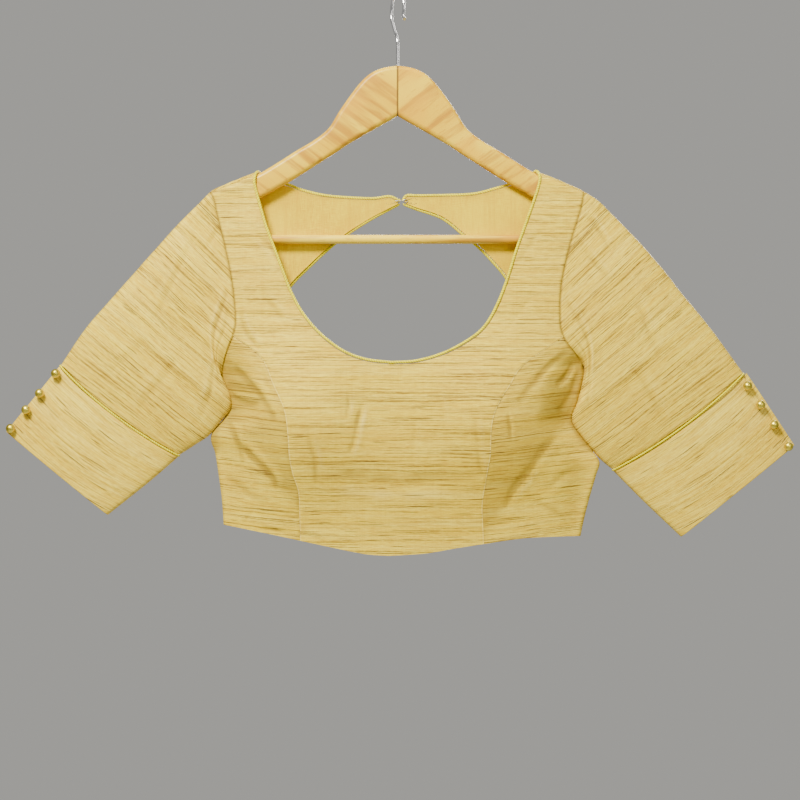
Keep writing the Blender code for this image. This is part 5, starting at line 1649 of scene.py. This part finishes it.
def make_bar():
    rings, place = cord_points(np.stack([np.linspace(-BAR_END, BAR_END, 60), np.zeros(60), np.full(60, BAR_Z)],
                                        axis=1), BAR_RADIUS, 32)
    count, sides = rings.shape[:2]
    index = np.arange(count * sides).reshape(count, sides)
    index = np.concatenate([index, index[:, :1]], axis=1)
    faces = [list(face) for face in corners_of(index)] + [list(index[0, :-1]), list(index[-1, :-1])]
    grain = np.concatenate([corners_of(place).reshape(-1, 2), place[0, :-1], place[-1, :-1]])
    add_piece("trouser_bar", rings.reshape(-1, 3), faces, grain, "wood_bar", "hanger_bar", sharp=50)


def make_hook():
    centre = HOOK_WIRE - HOOK_RADIUS
    path = list(HOOK_STEM)
    for turn in np.radians(np.linspace(*HOOK_ARC, 20)):
        path.append((HOOK_RADIUS * math.cos(turn), centre + HOOK_RADIUS * math.sin(turn)))
    path.append(HOOK_TIP)
    run = spline(path, even(150))
    wire = np.stack([run[:, 0] * math.cos(HOOK_TURN), -run[:, 0] * math.sin(HOOK_TURN), run[:, 1]], axis=1)
    cord("swivel_hook", wire, HOOK_WIRE, "hook_chrome", "chrome", "hanger_hook", 20)


# Stage

CAMERA_AT = (2.64, -2000.0, -447.7)
FLOOR_RADIUS = 6.0
FLOOR_CORNERS = 160


def make_stage():
    """Camera, lights, backdrop and floor."""
    scene = bpy.context.scene
    look = scene.choli_stage
    camera = bpy.data.cameras.new("camera")
    camera.lens = look.lens
    camera.clip_end = 50
    holder = bpy.data.objects.new("camera", camera)
    holder.location = Vector(CAMERA_AT) * MM
    holder.rotation_euler = (math.radians(90), 0, 0)
    scene.collection.objects.link(holder)
    scene.camera = holder
    world = bpy.data.worlds.new("soft studio")
    world.use_nodes = True
    world.node_tree.nodes["Background"].inputs["Color"].default_value = look.backdrop
    world.node_tree.nodes["Background"].inputs["Strength"].default_value = 1.0
    scene.world = world
    for name, place, size, power, colour in (
            ("key", (-0.75, -1.5, 1.15), 0.6, look.key, (1.0, 0.965, 0.86)),
            ("fill", (1.3, -2.4, 0.3), 1.2, look.fill, (1.0, 0.96, 0.90)),
            ("top", (0.2, -0.6, 1.5), 1.0, 8, (1.0, 0.96, 0.90)),
            ("behind", (0.5, 2.2, 0.3), 1.4, look.behind, (1.0, 0.97, 0.90))):
        lamp = bpy.data.lights.new(name, "AREA")
        lamp.size = size
        lamp.energy = power
        lamp.color = colour
        light = bpy.data.objects.new(name, lamp)
        light.location = place
        light.rotation_euler = (Vector((0, 0, -0.42)) - Vector(place)).to_track_quat("-Z", "Y").to_euler()
        scene.collection.objects.link(light)
    mesh = bpy.data.meshes.new("floor")
    rim = np.linspace(0, 2 * math.pi, FLOOR_CORNERS, endpoint=False)
    corners = [(FLOOR_RADIUS * math.cos(turn), FLOOR_RADIUS * math.sin(turn), -look.floor) for turn in rim]
    mesh.from_pydata(corners, [], [list(range(FLOOR_CORNERS))])
    floor = bpy.data.objects.new("floor", mesh)
    scene.collection.objects.link(floor)
    mesh.materials.append(finish_of("pale_floor"))


# Add-on


class BuildStep:
    """Shared by every build button."""
    bl_options = {"REGISTER", "UNDO"}


class CHOLI_OT_stage(BuildStep, bpy.types.Operator):
    """Set up the camera, the lights, the backdrop and the floor"""
    bl_idname = "choli.stage"
    bl_label = "Stage"

    def execute(self, context):
        make_stage()
        return {"FINISHED"}


class CHOLI_OT_front_centre(BuildStep, bpy.types.Operator):
    """Build the middle panel of the front with both straps"""
    bl_idname = "choli.front_centre"
    bl_label = "Front middle panel"

    def execute(self, context):
        make_front_centre()
        return {"FINISHED"}


class CHOLI_OT_front_sides(BuildStep, bpy.types.Operator):
    """Build the two side panels of the front"""
    bl_idname = "choli.front_sides"
    bl_label = "Front side panels"

    def execute(self, context):
        for side in SIDES:
            make_front_side(side)
        return {"FINISHED"}


class CHOLI_OT_backs(BuildStep, bpy.types.Operator):
    """Build the two back halves and the lining inside them"""
    bl_idname = "choli.backs"
    bl_label = "Back halves and lining"

    def execute(self, context):
        for side in SIDES:
            make_back(side)
        return {"FINISHED"}


class CHOLI_OT_sleeves(BuildStep, bpy.types.Operator):
    """Build the two sleeves"""
    bl_idname = "choli.sleeves"
    bl_label = "Sleeves"

    def execute(self, context):
        for side in SIDES:
            make_sleeve(side)
        return {"FINISHED"}


class CHOLI_OT_cuffs(BuildStep, bpy.types.Operator):
    """Build the two deep cuffs"""
    bl_idname = "choli.cuffs"
    bl_label = "Cuffs"

    def execute(self, context):
        for side in SIDES:
            make_cuff(side)
        return {"FINISHED"}


class CHOLI_OT_piping(BuildStep, bpy.types.Operator):
    """Build the piping round the neck, the keyhole and the cuff seams"""
    bl_idname = "choli.piping"
    bl_label = "Piping"

    def execute(self, context):
        make_cords()
        return {"FINISHED"}


class CHOLI_OT_buttons(BuildStep, bpy.types.Operator):
    """Build the buttons of both cuffs"""
    bl_idname = "choli.buttons"
    bl_label = "Buttons"

    def execute(self, context):
        for side in SIDES:
            make_buttons(side)
        return {"FINISHED"}


class CHOLI_OT_closure(BuildStep, bpy.types.Operator):
    """Build the hook and eye at the back of the neck, with the stitches round the strip ends"""
    bl_idname = "choli.closure"
    bl_label = "Hook and eye"

    def execute(self, context):
        make_closure()
        return {"FINISHED"}


class CHOLI_OT_hanger_arms(BuildStep, bpy.types.Operator):
    """Build the two wooden arms of the hanger"""
    bl_idname = "choli.hanger_arms"
    bl_label = "Hanger arms"

    def execute(self, context):
        for side in SIDES:
            make_arm(side)
        return {"FINISHED"}


class CHOLI_OT_hanger_bar(BuildStep, bpy.types.Operator):
    """Build the round wooden bar between the arms"""
    bl_idname = "choli.hanger_bar"
    bl_label = "Trouser bar"

    def execute(self, context):
        make_bar()
        return {"FINISHED"}


class CHOLI_OT_hanger_hook(BuildStep, bpy.types.Operator):
    """Build the wire hook of the hanger"""
    bl_idname = "choli.hanger_hook"
    bl_label = "Swivel hook"

    def execute(self, context):
        make_hook()
        return {"FINISHED"}


STEPS = (CHOLI_OT_stage, CHOLI_OT_front_centre, CHOLI_OT_front_sides, CHOLI_OT_backs, CHOLI_OT_sleeves,
         CHOLI_OT_cuffs, CHOLI_OT_piping, CHOLI_OT_buttons, CHOLI_OT_closure, CHOLI_OT_hanger_arms,
         CHOLI_OT_hanger_bar, CHOLI_OT_hanger_hook)
SETTINGS = {"choli_silk": CHOLI_PG_silk, "choli_trim": CHOLI_PG_trim, "choli_hanger": CHOLI_PG_hanger,
            "choli_stage": CHOLI_PG_stage}


class CHOLI_PT_build(bpy.types.Panel):
    """Lists the sizes, the colours and the build buttons"""
    bl_idname = "CHOLI_PT_build"
    bl_label = "Choli blouse"
    bl_space_type = "VIEW_3D"
    bl_region_type = "UI"
    bl_category = "Choli"

    def draw(self, context):
        for step in STEPS:
            self.layout.operator(step.bl_idname)
        for name, group in SETTINGS.items():
            box = self.layout.box()
            box.label(text=group.__doc__)
            for setting in group.__annotations__:
                box.prop(getattr(context.scene, name), setting)


def register():
    for made in (*SETTINGS.values(), *STEPS, CHOLI_PT_build):
        bpy.utils.register_class(made)
    for name, group in SETTINGS.items():
        setattr(bpy.types.Scene, name, bpy.props.PointerProperty(type=group))


def unregister():
    for name in SETTINGS:
        delattr(bpy.types.Scene, name)
    for made in (CHOLI_PT_build, *reversed(STEPS), *SETTINGS.values()):
        bpy.utils.unregister_class(made)


def main():
    register()
    bpy.ops.choli.stage()
    bpy.ops.choli.front_centre()
    bpy.ops.choli.front_sides()
    bpy.ops.choli.backs()
    bpy.ops.choli.sleeves()
    bpy.ops.choli.cuffs()
    bpy.ops.choli.piping()
    bpy.ops.choli.buttons()
    bpy.ops.choli.closure()
    bpy.ops.choli.hanger_arms()
    bpy.ops.choli.hanger_bar()
    bpy.ops.choli.hanger_hook()


if __name__ == "__main__":
    main()
